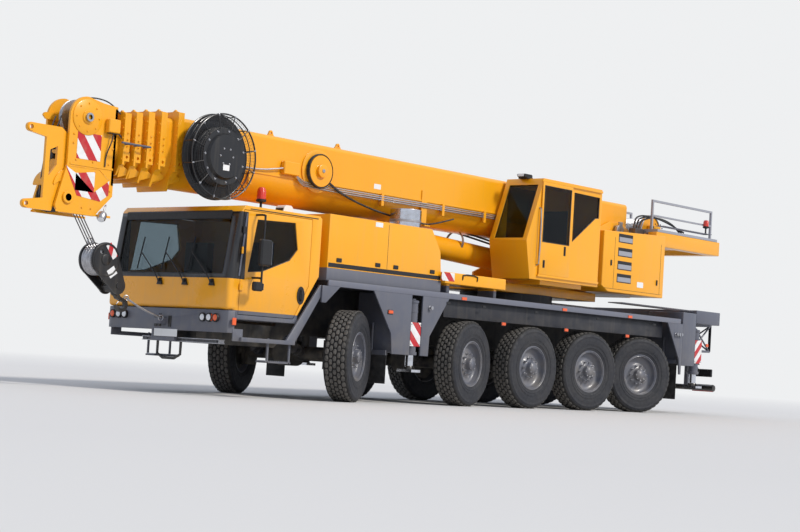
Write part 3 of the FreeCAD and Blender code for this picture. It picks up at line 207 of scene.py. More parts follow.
def striped(name, along, period, shift):
    """Red and white warning stripes across a direction, slightly faded, with chipped edges."""
    recipe = Recipe(name)
    far = recipe.add("ShaderNodeVectorMath", "DOT_PRODUCT", _0=recipe.place, _1=along)
    rough_edge = recipe.math("MULTIPLY", recipe.noise(60.0), 0.02)
    turns = recipe.math("ADD", recipe.math("MULTIPLY", far.outputs["Value"], 1 / period), shift)
    share = recipe.math("LESS_THAN", recipe.math("FRACT", recipe.math("ADD", turns, rough_edge)),
                        0.5)
    grime = recipe.band(recipe.noise(9.0, 6.0), 0.45, 0.8, 0.0, 0.3)
    colour = recipe.mix(share, from_srgb(226, 226, 226), from_srgb(186, 24, 34))
    recipe.bump(recipe.noise(700.0, 2.0), 0.0004, 0.3)
    return recipe.set(Base_Color=recipe.mix(grime, colour, DUST), Roughness=0.38, Coat_Weight=0.2)


def bare_metal(name, colour, rough, scratch=60.0):
    """Machined or polished metal with fine scratches and dull spots."""
    recipe = Recipe(name)
    spots = recipe.band(recipe.noise(14.0, 6.0), 0.35, 0.7)
    dull = recipe.mix(spots, colour, shaded(colour, 0.75))
    recipe.bump(recipe.noise(scratch, 4.0), 0.0006, 0.2)
    return recipe.set(Base_Color=dull, Metallic=1.0,
                      Roughness=recipe.band(spots, 0.0, 1.0, rough, rough + 0.15))


polished_steel = bare_metal("polished_steel", (0.78, 0.78, 0.8, 1.0), 0.14)
worn_steel = bare_metal("worn_steel", (0.5, 0.5, 0.52, 1.0), 0.35)
dark_steel = bare_metal("greased_rope_steel", (0.16, 0.15, 0.15, 1.0), 0.45)


def rubber(name, colour, rough=0.75):
    """Moulded rubber with pale dust rubbed into it."""
    recipe = Recipe(name)
    grey = recipe.mix(recipe.band(recipe.noise(9.0, 6.0), 0.35, 0.75, 0.0, 0.55), colour,
                      from_srgb(84, 82, 80))
    recipe.bump(recipe.noise(220.0, 4.0), 0.0012, 0.5)
    return recipe.set(Base_Color=grey,
                      Roughness=recipe.band(recipe.noise(20.0), 0.3, 0.7, rough - 0.1, rough + 0.1))


def tyre_finish():
    """Dark sidewalls, and a tread scuffed pale on its outer faces and black in its grooves, where
    the black is painted shade.
    """
    recipe = Recipe("tyre_rubber")
    reach = recipe.tree.nodes.new("ShaderNodeAttribute")
    reach.attribute_name = "reach"
    reach = reach.outputs["Fac"]
    wall = recipe.mix(recipe.band(recipe.noise(4.0, 6.0), 0.35, 0.75, 0.0, 0.35),
                      from_srgb(33, 35, 42), from_srgb(72, 70, 68))
    scuffed = recipe.mix(recipe.band(recipe.noise(30.0, 5.0), 0.3, 0.7), from_srgb(64, 62, 61),
                         from_srgb(104, 100, 94))
    # grooves coloured darker than the sidewall rubber: painted shade in the recesses between blocks
    groove_painted_shade = recipe.mix(recipe.band(recipe.noise(18.0, 4.0), 0.3, 0.7), from_srgb(15, 15, 17),
                        from_srgb(44, 42, 40))
    tread = recipe.mix(recipe.band(reach, 0.671, 0.681), groove_painted_shade, scuffed)
    share = recipe.band(reach, 0.64, 0.656)
    recipe.bump(recipe.noise(220.0, 4.0), 0.0012, 0.5)
    return recipe.set(Base_Color=recipe.mix(share, wall, tread),
                      Roughness=recipe.band(recipe.noise(20.0), 0.3, 0.7, 0.62, 0.85))


tyre_rubber = tyre_finish()
black_rubber = rubber("black_rubber", from_srgb(26, 26, 28), 0.6)


def tinted_glass(name, tint):
    recipe = Recipe(name)
    film = recipe.band(recipe.noise(3.0, 5.0), 0.4, 0.8, 0.02, 0.1)
    return recipe.set(Base_Color=tint, Roughness=film, Transmission_Weight=1.0, IOR=1.2)


cab_glass = tinted_glass("tinted_cab_glass", (0.34, 0.4, 0.43, 1.0))


def moulded(name, colour, rough=0.6):
    """Moulded plastic with a fine leather-like grain."""
    recipe = Recipe(name)
    tone = recipe.mix(recipe.band(recipe.noise(6.0), 0.3, 0.7, 0.0, 0.3), colour,
                      shaded(colour, 1.6))
    recipe.bump(recipe.noise(260.0, 3.0), 0.0008, 0.5)
    return recipe.set(Base_Color=tone,
                      Roughness=recipe.band(recipe.noise(30.0), 0.3, 0.7, rough - 0.08,
                                            rough + 0.08))


cab_plastic = moulded("cab_trim_plastic", from_srgb(46, 46, 50))
black_plastic = moulded("black_plastic", from_srgb(20, 20, 22), 0.5)


def lens(name, colour):
    """Ribbed coloured lens."""
    recipe = Recipe(name)
    ribs = recipe.math("SINE", recipe.math("MULTIPLY", recipe.axes["Z"], 900.0))
    recipe.bump(ribs, 0.001, 0.3)
    tone = recipe.mix(recipe.band(recipe.noise(40.0), 0.3, 0.7, 0.0, 0.25), colour,
                      shaded(colour, 0.6))
    return recipe.set(Base_Color=tone, Roughness=0.18, Coat_Weight=0.6)


orange_lens = lens("orange_lens", from_srgb(235, 92, 30))
red_lens = lens("red_lens", from_srgb(200, 26, 30))
clear_lens = lens("clear_lens", from_srgb(225, 228, 232))
red_beacon = lens("red_beacon_dome", from_srgb(214, 52, 30))
SIDE_STRIPE, REAR_STRIPE = (1.0, 0.0, -1.0), (1.0, 0.0, 1.0)

NODE_FINISH = {"chassis_frame": chassis_paint, "axle_beams": chassis_paint,
               "deck_and_skins": skin_paint_with_painted_shade, "driver_cab": cab_paint, "driver_cab_glass": cab_glass,
               "driver_cab_interior": cab_plastic, "door_left": cab_paint, "door_right": cab_paint,
               "door_glass_left": cab_glass, "door_glass_right": cab_glass,
               "front_bumper": grey_paint, "engine_hood": yellow_paint,
               "engine_and_exhaust": polished_steel, "storage_boxes": box_paint,
               "lamps": orange_lens, "turntable": yellow_paint, "machinery_housing": yellow_paint,
               "walkway": light_paint, "winch_drum": yellow_paint, "operator_cab": yellow_paint,
               "operator_cab_glass": cab_glass, "operator_cab_interior": cab_plastic,
               "operator_door": yellow_paint, "operator_door_glass": cab_glass,
               "lift_barrel": yellow_paint, "lift_rod": polished_steel, "hook_block": black_paint,
               "cable_reel": black_paint}


def finish_for(node):
    if node in NODE_FINISH:
        return NODE_FINISH[node]
    if node.startswith("boom"):
        return yellow_paint
    if node.startswith("wheel"):
        return rim_paint
    if node.startswith("jack"):
        return polished_steel
    return chassis_paint if node.startswith("knuckle") else grey_paint


for name, piece in frame["nodes"].items():
    piece.data.materials.clear()
    piece.data.materials.append(finish_for(name))
side_stripe = striped("side_warning_stripes", SIDE_STRIPE, 0.3, 0.1)
rear_stripe = striped("rear_warning_stripes", REAR_STRIPE, 0.26, 0.1)
hook_stripe = striped("hook_warning_stripes", (1.0, 0.0, 0.2), 0.16, 0.0)
head_stripe = striped("head_warning_stripes", (1.0, 0.0, -0.75), 0.3, 0.05)


# Two faces that meet at less than this angle, in degrees, are shaded as one
SMOOTH_BELOW = 32


class Form:
    """Plain pieces gathered into one mesh, each with the finish that was last chosen.

    Lengths along the crane are measured forward from the first axle unless a pose is given.
    """

    def __init__(self, finish, pose=None):
        self.points, self.faces, self.marks, self.finishes = [], [], [], []
        self.pose = pose or Matrix.Translation((FIRST_AXLE, 0, 0))
        self.paint(finish)

    def paint(self, finish):
        if finish not in self.finishes:
            self.finishes.append(finish)
        self.mark = self.finishes.index(finish)

    def put(self, points, faces):
        first = len(self.points)
        self.points.extend(self.pose @ Vector(point) for point in points)
        self.faces.extend(tuple(first + index for index in face) for face in faces)
        self.marks.extend([self.mark] * len(faces))

    def box(self, x, y, z, edge=0.0):
        """Box between limits; an edge width cuts its twelve edges off."""
        if not edge:
            corners = [(a, b, c) for a in x for b in y for c in z]
            self.put(corners, [(0, 1, 3, 2), (4, 6, 7, 5), (0, 4, 5, 1), (2, 3, 7, 6), (0, 2, 6, 4),
                               (1, 5, 7, 3)])
            return
        hull = bmesh.new()
        for a in range(2):
            for b in range(2):
                for c in range(2):
                    corner = [x[a], y[b], z[c]]
                    steps = [edge * (1 - 2 * side) for side in (a, b, c)]
                    for kept in range(3):
                        hull.verts.new([corner[i] + (0.0 if i == kept else steps[i])
                                        for i in range(3)])
        bmesh.ops.convex_hull(hull, input=hull.verts)
        bmesh.ops.dissolve_limit(hull, angle_limit=0.01, verts=hull.verts, edges=hull.edges)
        hull.verts.index_update()
        self.put([vert.co.copy() for vert in hull.verts],
                 [[vert.index for vert in face.verts] for face in hull.faces])
        hull.free()

    def lathe(self, profile, start, direction, steps=32):
        """Profile of radius and height above the start point, turned about a direction."""
        up = Vector(direction).normalized()
        side = up.orthogonal().normalized()
        across = up.cross(side)
        points, rings = [], []
        for radius, height in profile:
            centre = Vector(start) + up * height
            if radius < 1e-6:
                rings.append([len(points)] * steps)
                points.append(centre)
                continue
            rings.append(list(range(len(points), len(points) + steps)))
            for index in range(steps):
                turn = math.tau * index / steps
                points.append(centre + radius * (math.cos(turn) * side + math.sin(turn) * across))
        faces = []
        for low, high in zip(rings, rings[1:]):
            for index in range(steps):
                after = (index + 1) % steps
                ring = [low[index], low[after], high[after], high[index]]
                faces.append(tuple(dict.fromkeys(ring)))
        self.put(points, [face for face in faces if len(face) > 2])

    def rod(self, start, end, radius, steps=20, bevel=0.0):
        """Round bar between two points, its ends turned down by the bevel."""
        span = Vector(end) - Vector(start)
        length = span.length
        profile = [(0, 0), (radius - bevel, 0), (radius, bevel), (radius, length - bevel),
                   (radius - bevel, length), (0, length)]
        self.lathe(profile if bevel else [profile[0], profile[1], profile[4], profile[5]], start,
                   span, steps)

    def ring(self, centre, direction, radius, thick, steps=40, sides=10):
        """Closed round hoop."""
        profile = []
        for index in range(sides + 1):
            turn = math.tau * index / sides
            profile.append((radius + thick * math.cos(turn), thick * math.sin(turn)))
        self.lathe(profile, centre, direction, steps)

    def tube(self, spots, radius, sides=10, soft=0):
        """Bent pipe or hose through points; soft is how many times its bends are rounded."""
        line = [Vector(spot) for spot in spots]
        for _round in range(soft):
            finer = [line[0]]
            for start, end in zip(line, line[1:]):
                finer.extend((start.lerp(end, 0.25), start.lerp(end, 0.75)))
            line = finer + [line[-1]]
        points, rings = [], []
        side = (line[1] - line[0]).orthogonal().normalized()
        for index, spot in enumerate(line):
            before = line[max(index - 1, 0)]
            after = line[min(index + 1, len(line) - 1)]
            ahead = (after - before).normalized()
            side = (side - ahead * side.dot(ahead)).normalized()
            across = ahead.cross(side)
            rings.append(range(len(points), len(points) + sides))
            for step in range(sides):
                turn = math.tau * step / sides
                points.append(spot + radius * (math.cos(turn) * side + math.sin(turn) * across))
        faces = [tuple(rings[0]), tuple(reversed(rings[-1]))]
        for low, high in zip(rings, rings[1:]):
            for step in range(sides):
                after = (step + 1) % sides
                faces.append((low[step], low[after], high[after], high[step]))
        self.put(points, faces)

    def plate(self, corners, thick):
        """Flat panel on a row of points, thickened along their common normal."""
        flat = [Vector(corner) for corner in corners]
        normal = (flat[1] - flat[0]).cross(flat[-1] - flat[0]).normalized() * thick
        count = len(flat)
        sides = [(i, (i + 1) % count, count + (i + 1) % count, count + i) for i in range(count)]
        self.put(flat + [spot + normal for spot in flat],
                 [tuple(range(count)), tuple(range(2 * count - 1, count - 1, -1))] + sides)

    def mesh(self, name):
        mesh = bpy.data.meshes.new(name)
        mesh.from_pydata([tuple(point) for point in self.points], [], self.faces)
        for finish in self.finishes:
            mesh.materials.append(finish)
        mesh.polygons.foreach_set("material_index", self.marks)
        return tidy(mesh, SMOOTH_BELOW)

    def build(self, name, body):
        return show(name, self.mesh(name), body)


def tidy(mesh, sharp):
    """Outward normals, and smooth shading up to an angle between faces."""
    shape = bmesh.new()
    shape.from_mesh(mesh)
    bmesh.ops.recalc_face_normals(shape, faces=shape.faces)
    shape.to_mesh(mesh)
    shape.free()
    mesh.polygons.foreach_set("use_smooth", [True] * len(mesh.polygons))
    mesh.set_sharp_from_angle(angle=math.radians(sharp))
    return mesh


def show(name, mesh, body):
    piece = bpy.data.objects.new(name, mesh)
    bpy.context.scene.collection.objects.link(piece)
    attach(piece, body)
    return piece


def scatter_tree():
    """Nodes that put a copy of one piece on every point, turned and sized by its attributes."""
    tree = bpy.data.node_groups.new("copies_on_points", "GeometryNodeTree")
    for label, kind in (("Points", "Geometry"), ("Piece", "Object"), ("Finish", "Material"),
                        ("Seed", "Int"), ("Wobble", "Float")):
        tree.interface.new_socket(label, in_out="INPUT", socket_type=f"NodeSocket{kind}")
    tree.interface.new_socket("Result", in_out="OUTPUT", socket_type="NodeSocketGeometry")
    given = tree.nodes.new("NodeGroupInput").outputs
    piece = add_node(tree, "GeometryNodeObjectInfo", Object=given["Piece"], As_Instance=True)
    stored = []
    for name in ("turn", "size"):
        stored.append(add_node(tree, "GeometryNodeInputNamedAttribute", Name=name))
        stored[-1].data_type = "FLOAT_VECTOR"
    turn = add_node(tree, "FunctionNodeEulerToRotation", _0=stored[0].outputs[0])
    copied = add_node(tree, "GeometryNodeInstanceOnPoints", Points=given["Points"],
                      Instance=piece.outputs["Geometry"], Rotation=turn.outputs[0],
                      Scale=stored[1].outputs[0])
    back = add_node(tree, "ShaderNodeMath", "MULTIPLY", _0=given["Wobble"], _1=-1.0)
    wobble = tree.nodes.new("FunctionNodeRandomValue")
    wobble.data_type = "FLOAT"
    for socket, value in ((2, back.outputs[0]), (3, given["Wobble"]), ("Seed", given["Seed"])):
        tree.links.new(value, wobble.inputs[socket])
    about = add_node(tree, "ShaderNodeCombineXYZ", Z=wobble.outputs[1])
    spin = add_node(tree, "FunctionNodeEulerToRotation", _0=about.outputs[0])
    twist = add_node(tree, "GeometryNodeRotateInstances", Instances=copied.outputs[0],
                     Rotation=spin.outputs[0])
    real = add_node(tree, "GeometryNodeRealizeInstances", _0=twist.outputs[0])
    coated = add_node(tree, "GeometryNodeSetMaterial", Geometry=real.outputs[0],
                      Material=given["Finish"])
    tree.links.new(coated.outputs[0], tree.nodes.new("NodeGroupOutput").inputs[0])
    return tree


SCATTER = scatter_tree()
SCATTER_SEED = 3
NO_POSE = Matrix.Identity(4)


def copies(name, make, spots, finish, wobble=0.0):
    """Mesh of one form on many spots: place, outward direction, direction across it, size."""
    cloud = bpy.data.meshes.new(f"{name}_spots")
    cloud.from_pydata([tuple(spot[0]) for spot in spots], [], [])
    turns, sizes = [], []
    for _place, out, across, size in spots:
        up = Vector(out).normalized()
        first = (Vector(across) - up * up.dot(Vector(across))).normalized()
        turns.extend(Matrix((first, up.cross(first), up)).transposed().to_euler())
        sizes.extend(size if isinstance(size, tuple) else (size, size, size))
    cloud.attributes.new("turn", "FLOAT_VECTOR", "POINT").data.foreach_set("vector", turns)
    cloud.attributes.new("size", "FLOAT_VECTOR", "POINT").data.foreach_set("vector", sizes)
    holder = bpy.data.objects.new(f"{name}_spots", cloud)
    template = Form(finish, NO_POSE)
    make(template)
    small = bpy.data.objects.new(f"{name}_template", template.mesh("template"))
    for item in (holder, small):
        bpy.context.scene.collection.objects.link(item)
    modifier = holder.modifiers.new("copies", "NODES")
    modifier.node_group = SCATTER
    sockets = {item.name: item.identifier
               for item in SCATTER.interface.items_tree if item.in_out == "INPUT"}
    for label, value in (("Piece", small), ("Finish", finish), ("Seed", SCATTER_SEED),
                         ("Wobble", wobble)):
        modifier[sockets[label]] = value
    holder.update_tag()
    graph = bpy.context.evaluated_depsgraph_get()
    mesh = bpy.data.meshes.new_from_object(holder.evaluated_get(graph),
                                           preserve_all_data_layers=False, depsgraph=graph)
    mesh.name = name
    for item in (holder, small):
        bpy.data.objects.remove(item)
    return mesh


def scattered(name, make, spots, finish, body):
    shift = Vector((FIRST_AXLE, 0, 0))
    moved = [(Vector(place) + shift, out, across, size) for place, out, across, size in spots]
    show(name, tidy(copies(name, make, moved, finish), SMOOTH_BELOW), body)


def joined(name, meshes):
    """One mesh from several, each keeping its finishes."""
    whole = bmesh.new()
    finishes = []
    for mesh in meshes:
        first_face = len(whole.faces)
        whole.from_mesh(mesh)
        whole.faces.ensure_lookup_table()
        for face in whole.faces[first_face:]:
            finish = mesh.materials[face.material_index]
            if finish not in finishes:
                finishes.append(finish)
            face.material_index = finishes.index(finish)
    result = bpy.data.meshes.new(name)
    whole.to_mesh(result)
    whole.free()
    for finish in finishes:
        result.materials.append(finish)
    return result


def hex_bolt(form):
    """Bolt head of unit size on a washer."""
    form.lathe([(0, 0), (1.25, 0), (1.25, 0.16), (1.2, 0.2), (0, 0.2)], ORIGIN, UP, 10)
    form.lathe([(1.0, 0.2), (1.0, 0.78), (0.86, 0.9), (0, 0.9)], ORIGIN, UP, 6)


def stud(form):
    """Round bolt end of unit width."""
    form.lathe([(0.0, 0.0), (0.5, 0.0), (0.5, 0.6), (0.38, 0.8), (0.0, 0.8)], ORIGIN, UP, 8)


def bar(form):
    """Unit bar, sized by each spot."""
    form.box((-0.5, 0.5), (-0.5, 0.5), (0.0, 1.0))


def around(count, shift=0.0):
    """Directions spread evenly about the Y axis, the first one forward."""
    for index in range(count):
        turn = math.tau * (index + shift) / count
        yield Vector((math.cos(turn), 0, math.sin(turn)))


def clockwise(count, shift=0.0):
    """Pairs of directions about the Y axis: outward, the first one up, and along the turn."""
    for out in around(count, shift):
        yield Vector((out.z, 0, out.x)), Vector((out.x, 0, -out.z))


def sided(side, near, far):
    """Limits across the crane on its left (1) or right (-1) side, the lower one first."""
    return sorted((side * near, side * far))


def arced(points, steps=7):
    """Closed outline; a third value is the radius of the arc to the next point, inward below 0."""
    outline = []
    for start, after in zip(points, points[1:] + points[:1]):
        outline.append(tuple(start[:2]))
        if len(start) < 3:
            continue
        first, last = Vector(start[:2]), Vector(after[:2])
        half = (last - first).length / 2
        radius = max(abs(start[2]), half * 1.0001)
        left = Vector((first.y - last.y, last.x - first.x)).normalized()
        rise = math.sqrt(radius ** 2 - half ** 2)
        centre = (first + last) / 2 + left * math.copysign(rise, start[2])
        arm = first - centre
        sweep = math.copysign(2 * math.asin(half / radius), start[2])
        for step in range(1, steps):
            turn = sweep * step / steps
            outline.append((centre.x + arm.x * math.cos(turn) - arm.y * math.sin(turn),
                            centre.y + arm.x * math.sin(turn) + arm.y * math.cos(turn)))
    return outline


def slab(form, loops, axis, low, high):
    """Plate between two levels of an axis: an outer outline and holes in the two others."""
    spot = "xyz".index(axis)
    shape = bmesh.new()
    for level in (low, high):
        edges = []
        for loop in loops:
            verts = []
            for point in loop:
                full = list(point)
                full.insert(spot, level)
                verts.append(shape.verts.new(full))
            edges.extend(shape.edges.new((verts[i - 1], verts[i])) for i in range(len(verts)))
        bmesh.ops.triangle_fill(shape, edges=edges, use_beauty=True, use_dissolve=False)
    shape.verts.index_update()
    faces = [[vert.index for vert in face.verts] for face in shape.faces]
    count = sum(len(loop) for loop in loops)
    first = 0
    for loop in loops:
        size = len(loop)
        faces.extend([first + i, first + (i + 1) % size, count + first + (i + 1) % size,
                      count + first + i] for i in range(size))
        first += size
    form.put([vert.co.copy() for vert in shape.verts], faces)
    shape.free()


def circle(centre, radius, steps=24):
    return [(centre[0] + radius * math.cos(math.tau * i / steps),
             centre[1] + radius * math.sin(math.tau * i / steps)) for i in range(steps)]


# Sheet edges that are rolled over turn by more than this angle and are longer than this length
SHEET_ANGLE, SHORTEST_EDGE = 0.45, 0.012


def softened(node, width, segments=2, corners=None):
    """Copy of a CAD node with rolled sheet edges, rolled wider on corners that a test names."""
    shape = bmesh.new()
    shape.from_mesh(frame["nodes"][node].data)
    bmesh.ops.remove_doubles(shape, verts=shape.verts, dist=1e-5)
    bmesh.ops.dissolve_limit(shape, angle_limit=math.radians(0.6), verts=shape.verts,
                             edges=shape.edges)
    rounds = [(corners[0], corners[1], 5)] if corners else []
    rounds.append((width, lambda edge: True, segments))
    for size, test, steps in rounds:
        chosen = [edge for edge in shape.edges if len(edge.link_faces) == 2
                  and edge.calc_face_angle(0) > SHEET_ANGLE and edge.calc_length() > SHORTEST_EDGE
                  and test(edge)]
        bmesh.ops.bevel(shape, geom=chosen, offset=size, offset_type="OFFSET", segments=steps,
                        profile=0.5, affect="EDGES", clamp_overlap=True, loop_slide=True)
    mesh = bpy.data.meshes.new(f"{node}_rolled")
    shape.to_mesh(mesh)
    shape.free()
    mesh.materials.clear()
    mesh.materials.append(finish_for(node))
    mesh.polygons.foreach_set("material_index", [0] * len(mesh.polygons))
    mesh.polygons.foreach_set("use_smooth", [True] * len(mesh.polygons))
    mesh.set_sharp_from_angle(angle=math.radians(34))
    piece = show(f"{node}_rolled_edges", mesh, BODIES[node])
    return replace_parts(piece, node)


def pane_loops(node, towards):
    """Outline of each pane of a glass node, on the side that faces a direction."""
    shape = bmesh.new()
    shape.from_mesh(frame["nodes"][node].data)
    bmesh.ops.remove_doubles(shape, verts=shape.verts, dist=1e-5)
    bmesh.ops.dissolve_limit(shape, angle_limit=math.radians(1), verts=shape.verts,
                             edges=shape.edges)
    loops = [[vert.co.copy() for vert in face.verts] for face in shape.faces
             if face.normal.dot(Vector(towards).normalized()) > 0.9 and face.calc_area() > 0.05]
    shape.free()
    return loops


def seal_panes(name, node, towards, radius=0.012):
    """Rubber seal round every pane that faces a direction."""
    form = Form(black_rubber, NO_POSE)
    for loop in pane_loops(node, towards):
        ring = loop + [loop[0], loop[1]]
        form.tube([spot + Vector(towards).normalized() * 0.004 for spot in ring], radius, 8)
    form.build(name, BODIES[node])


# Steered wheels stand as in the photograph: axle's place, angle at rest in degrees
AXLES = ((1, 0.0, 27.0), (2, -2.728, 12.0), (3, -4.428, 0.0), (4, -6.128, -8.5), (5, -7.828, -20.0))
KINGPIN_Y = 0.98
WHEEL_MIDDLE = 0.2
TREAD_PITCHES = 42
TREAD_FLOOR = 0.668
TYRE_INSIDE = 0.45
NUT_CIRCLE, CAP_CIRCLE = 0.1675, 0.098


def tread_block(form):
    """Rounded tread block, one unit long and wide, standing 17 mm high."""
    outline = [(0.5, 0.18), (0.34, 0.42), (0.0, 0.5), (-0.34, 0.42), (-0.5, 0.18), (-0.5, -0.18),
               (-0.34, -0.42), (0.0, -0.5), (0.34, -0.42), (0.5, -0.18)]
    count = len(outline)
    points = [(x, y, z) for z, share in ((-0.004, 1.0), (0.0145, 0.97), (0.017, 0.86)) for x, y in
              [(x * share, y * share) for x, y in outline]]
    faces = [(ring * count + i, ring * count + (i + 1) % count,
              (ring + 1) * count + (i + 1) % count, (ring + 1) * count + i) for ring in range(2)
             for i in range(count)]
    form.put(points, faces + [tuple(range(2 * count, 3 * count))])


def tyre_mesh():
    """Tyre about its kingpin: ribbed sidewalls, wavy rows of blocks and shoulder lugs."""
    half = [(TREAD_FLOOR, 0.0), (TREAD_FLOOR, 0.15), (0.661, 0.166), (0.648, 0.178), (0.622, 0.188),
            (0.617, 0.1925), (0.606, 0.1935), (0.6, 0.19), (0.565, 0.195), (0.52, 0.1945),
            (0.455, 0.188), (0.43, 0.184), (0.426, 0.187), (0.418, 0.186), (0.414, 0.181),
            (0.396, 0.176), (0.38, 0.171), (0.37, 0.168), (0.3602, 0.16)]
    profile = [(radius, WHEEL_MIDDLE - side) for radius, side in reversed(half[1:])]
    profile += [(radius, WHEEL_MIDDLE + side) for radius, side in half]
    carcass = Form(tyre_rubber, NO_POSE)
    carcass.lathe(profile, ORIGIN, LEFT, 96)
    for radius in (0.47, 0.485, 0.55):
        carcass.ring((0, WHEEL_MIDDLE + 0.19, 0), LEFT, radius, 0.0035, 72, 6)
    spots = []
    rows = ((-0.122, 0.0, 0.06, 0.088), (-0.061, 0.5, 0.052, 0.082), (0.0, 0.0, 0.054, 0.082),
            (0.061, 0.5, 0.052, 0.082), (0.122, 0.0, 0.06, 0.088))
    for across, stagger, width, length in rows:
        for out, along in clockwise(TREAD_PITCHES, stagger):
            place = out * TREAD_FLOOR + Vector((0, WHEEL_MIDDLE + across, 0))
            spots.append((place, out, along, (length, width, 1.0)))
    for side in (-1, 1):
        for out, along in clockwise(TREAD_PITCHES, 0.5):
            place = out * 0.65 + Vector((0, WHEEL_MIDDLE + side * 0.163, 0))
            lean = out * 0.72 + Vector((0, side * 0.69, 0))
            spots.append((place, lean, along, (0.062, 0.046, 0.55)))
    blocks = copies("tread", tread_block, spots, tyre_rubber, 0.02)
    mesh = joined("tyre", [carcass.mesh("carcass"), blocks])
    reach = mesh.attributes.new("reach", "FLOAT", "POINT")
    reach.data.foreach_set("value", [math.hypot(vert.co.x, vert.co.z) for vert in mesh.vertices])
    return tidy(mesh, 40)


def rim_mesh():
    """Rim and hub of the CAD wheel without its tyre, with nuts, valve and the cap's bolts."""
    source = bmesh.new()
    source.from_mesh(frame["nodes"]["wheel_3_left"].data)
    bmesh.ops.remove_doubles(source, verts=source.verts, dist=1e-5)
    place = Vector((FIRST_AXLE + AXLES[2][1], KINGPIN_Y, WHEEL_RADIUS))
    source.transform(Matrix.Translation(-place))
    outer = set()
    for vert in source.verts:
        if vert in outer or math.hypot(vert.co.x, vert.co.z) < TYRE_INSIDE:
            continue
        waiting = [vert]
        while waiting:
            here = waiting.pop()
            if here in outer:
                continue
            outer.add(here)
            waiting.extend(edge.other_vert(here) for edge in here.link_edges)
    bmesh.ops.delete(source, geom=list(outer), context="VERTS")
    rim = bpy.data.meshes.new("rim")
    source.to_mesh(rim)
    source.free()
    rim.materials.clear()
    rim.materials.append(rim_paint)
    extra = Form(rim_paint, NO_POSE)
    extra.ring((0, WHEEL_MIDDLE + 0.165, 0), LEFT, 0.36, 0.011, 72, 10)
    extra.ring((0, WHEEL_MIDDLE + 0.158, 0), LEFT, 0.338, 0.006, 72, 8)
    extra.paint(black_rubber)
    extra.tube([(0.3, 0.262, 0.05), (0.305, 0.3, 0.05), (0.325, 0.335, 0.05)], 0.006, 8)
    face = WHEEL_MIDDLE + 0.1
    spots, studs = [], []
    for out, _ in clockwise(10, 0.5):
        spots.append((out * NUT_CIRCLE + Vector((0, face, 0)), LEFT, out, (0.0165, 0.0165, 0.03)))
        studs.append((out * NUT_CIRCLE + Vector((0, face + 0.026, 0)), LEFT, out,
                      (0.0085, 0.0085, 0.028)))
    for out, _ in clockwise(8):
        studs.append((out * CAP_CIRCLE + Vector((0, face + 0.089, 0)), LEFT, out, 0.008))
    nuts = copies("nuts", hex_bolt, spots, worn_steel, 0.3)
    pins = copies("studs", hex_bolt, studs, worn_steel, 0.3)
    return tidy(joined("rim_with_nuts", [rim, extra.mesh("rim_edge"), nuts, pins]), 30)


def make_wheels():
    tyre, rim = tyre_mesh(), rim_mesh()
    for number, along, angle in AXLES:
        for side, sign in (("left", 1), ("right", -1)):
            node = f"wheel_{number}_{side}"
            body = BODIES[node]
            turn = math.radians(angle + (0 if sign > 0 else 180))
            pose = (Matrix.Translation((FIRST_AXLE + along, sign * KINGPIN_Y, WHEEL_RADIUS))
                    @ Matrix.Rotation(turn, 4, "Z"))
            for kind, mesh in (("tyre", tyre), ("rim", rim)):
                own = mesh.copy()
                own.transform(pose)
                piece = show(f"{kind}_{number}_{side}", own, body)
                if kind == "tyre":
                    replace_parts(piece, node)


# Boom
BOOM_HALF, BOOM_TOP, BOOM_AXIS, NEST_STEP = 0.43, 3.89, 3.33, 0.032
MOUTHS = ((0, 2.95, "boom_base"), (1, 3.23, "boom_section_1"), (2, 3.43, "boom_section_2"),
          (3, 3.62, "boom_section_3"), (4, 3.79, "boom_section_4"))
HEAD_REAR, HEAD_HALF = 3.85, 0.27
TOP_X, TOP_Z, LOW_X, LOW_Z = 4.36, 3.67, 4.6, 2.56
JIB_EYE_X, JIB_EYES_Z = 5.22, (2.415, 3.425)
HOSE_DRUM_X, HOSE_DRUM_Z = 0.09, 3.47


def section_outline(step, grow=0.0, corner=0.07):
    """Boom section seen from the front: flat top, upright sides and a round underside."""
    half, top = BOOM_HALF - step * NEST_STEP + grow, BOOM_TOP - step * NEST_STEP + grow
    return arced([(half, BOOM_AXIS), (half, top - corner, corner), (half - corner, top),
                  (corner - half, top, corner), (-half, top - corner), (-half, BOOM_AXIS, half),
                  (0, BOOM_AXIS - half, half)], 10)


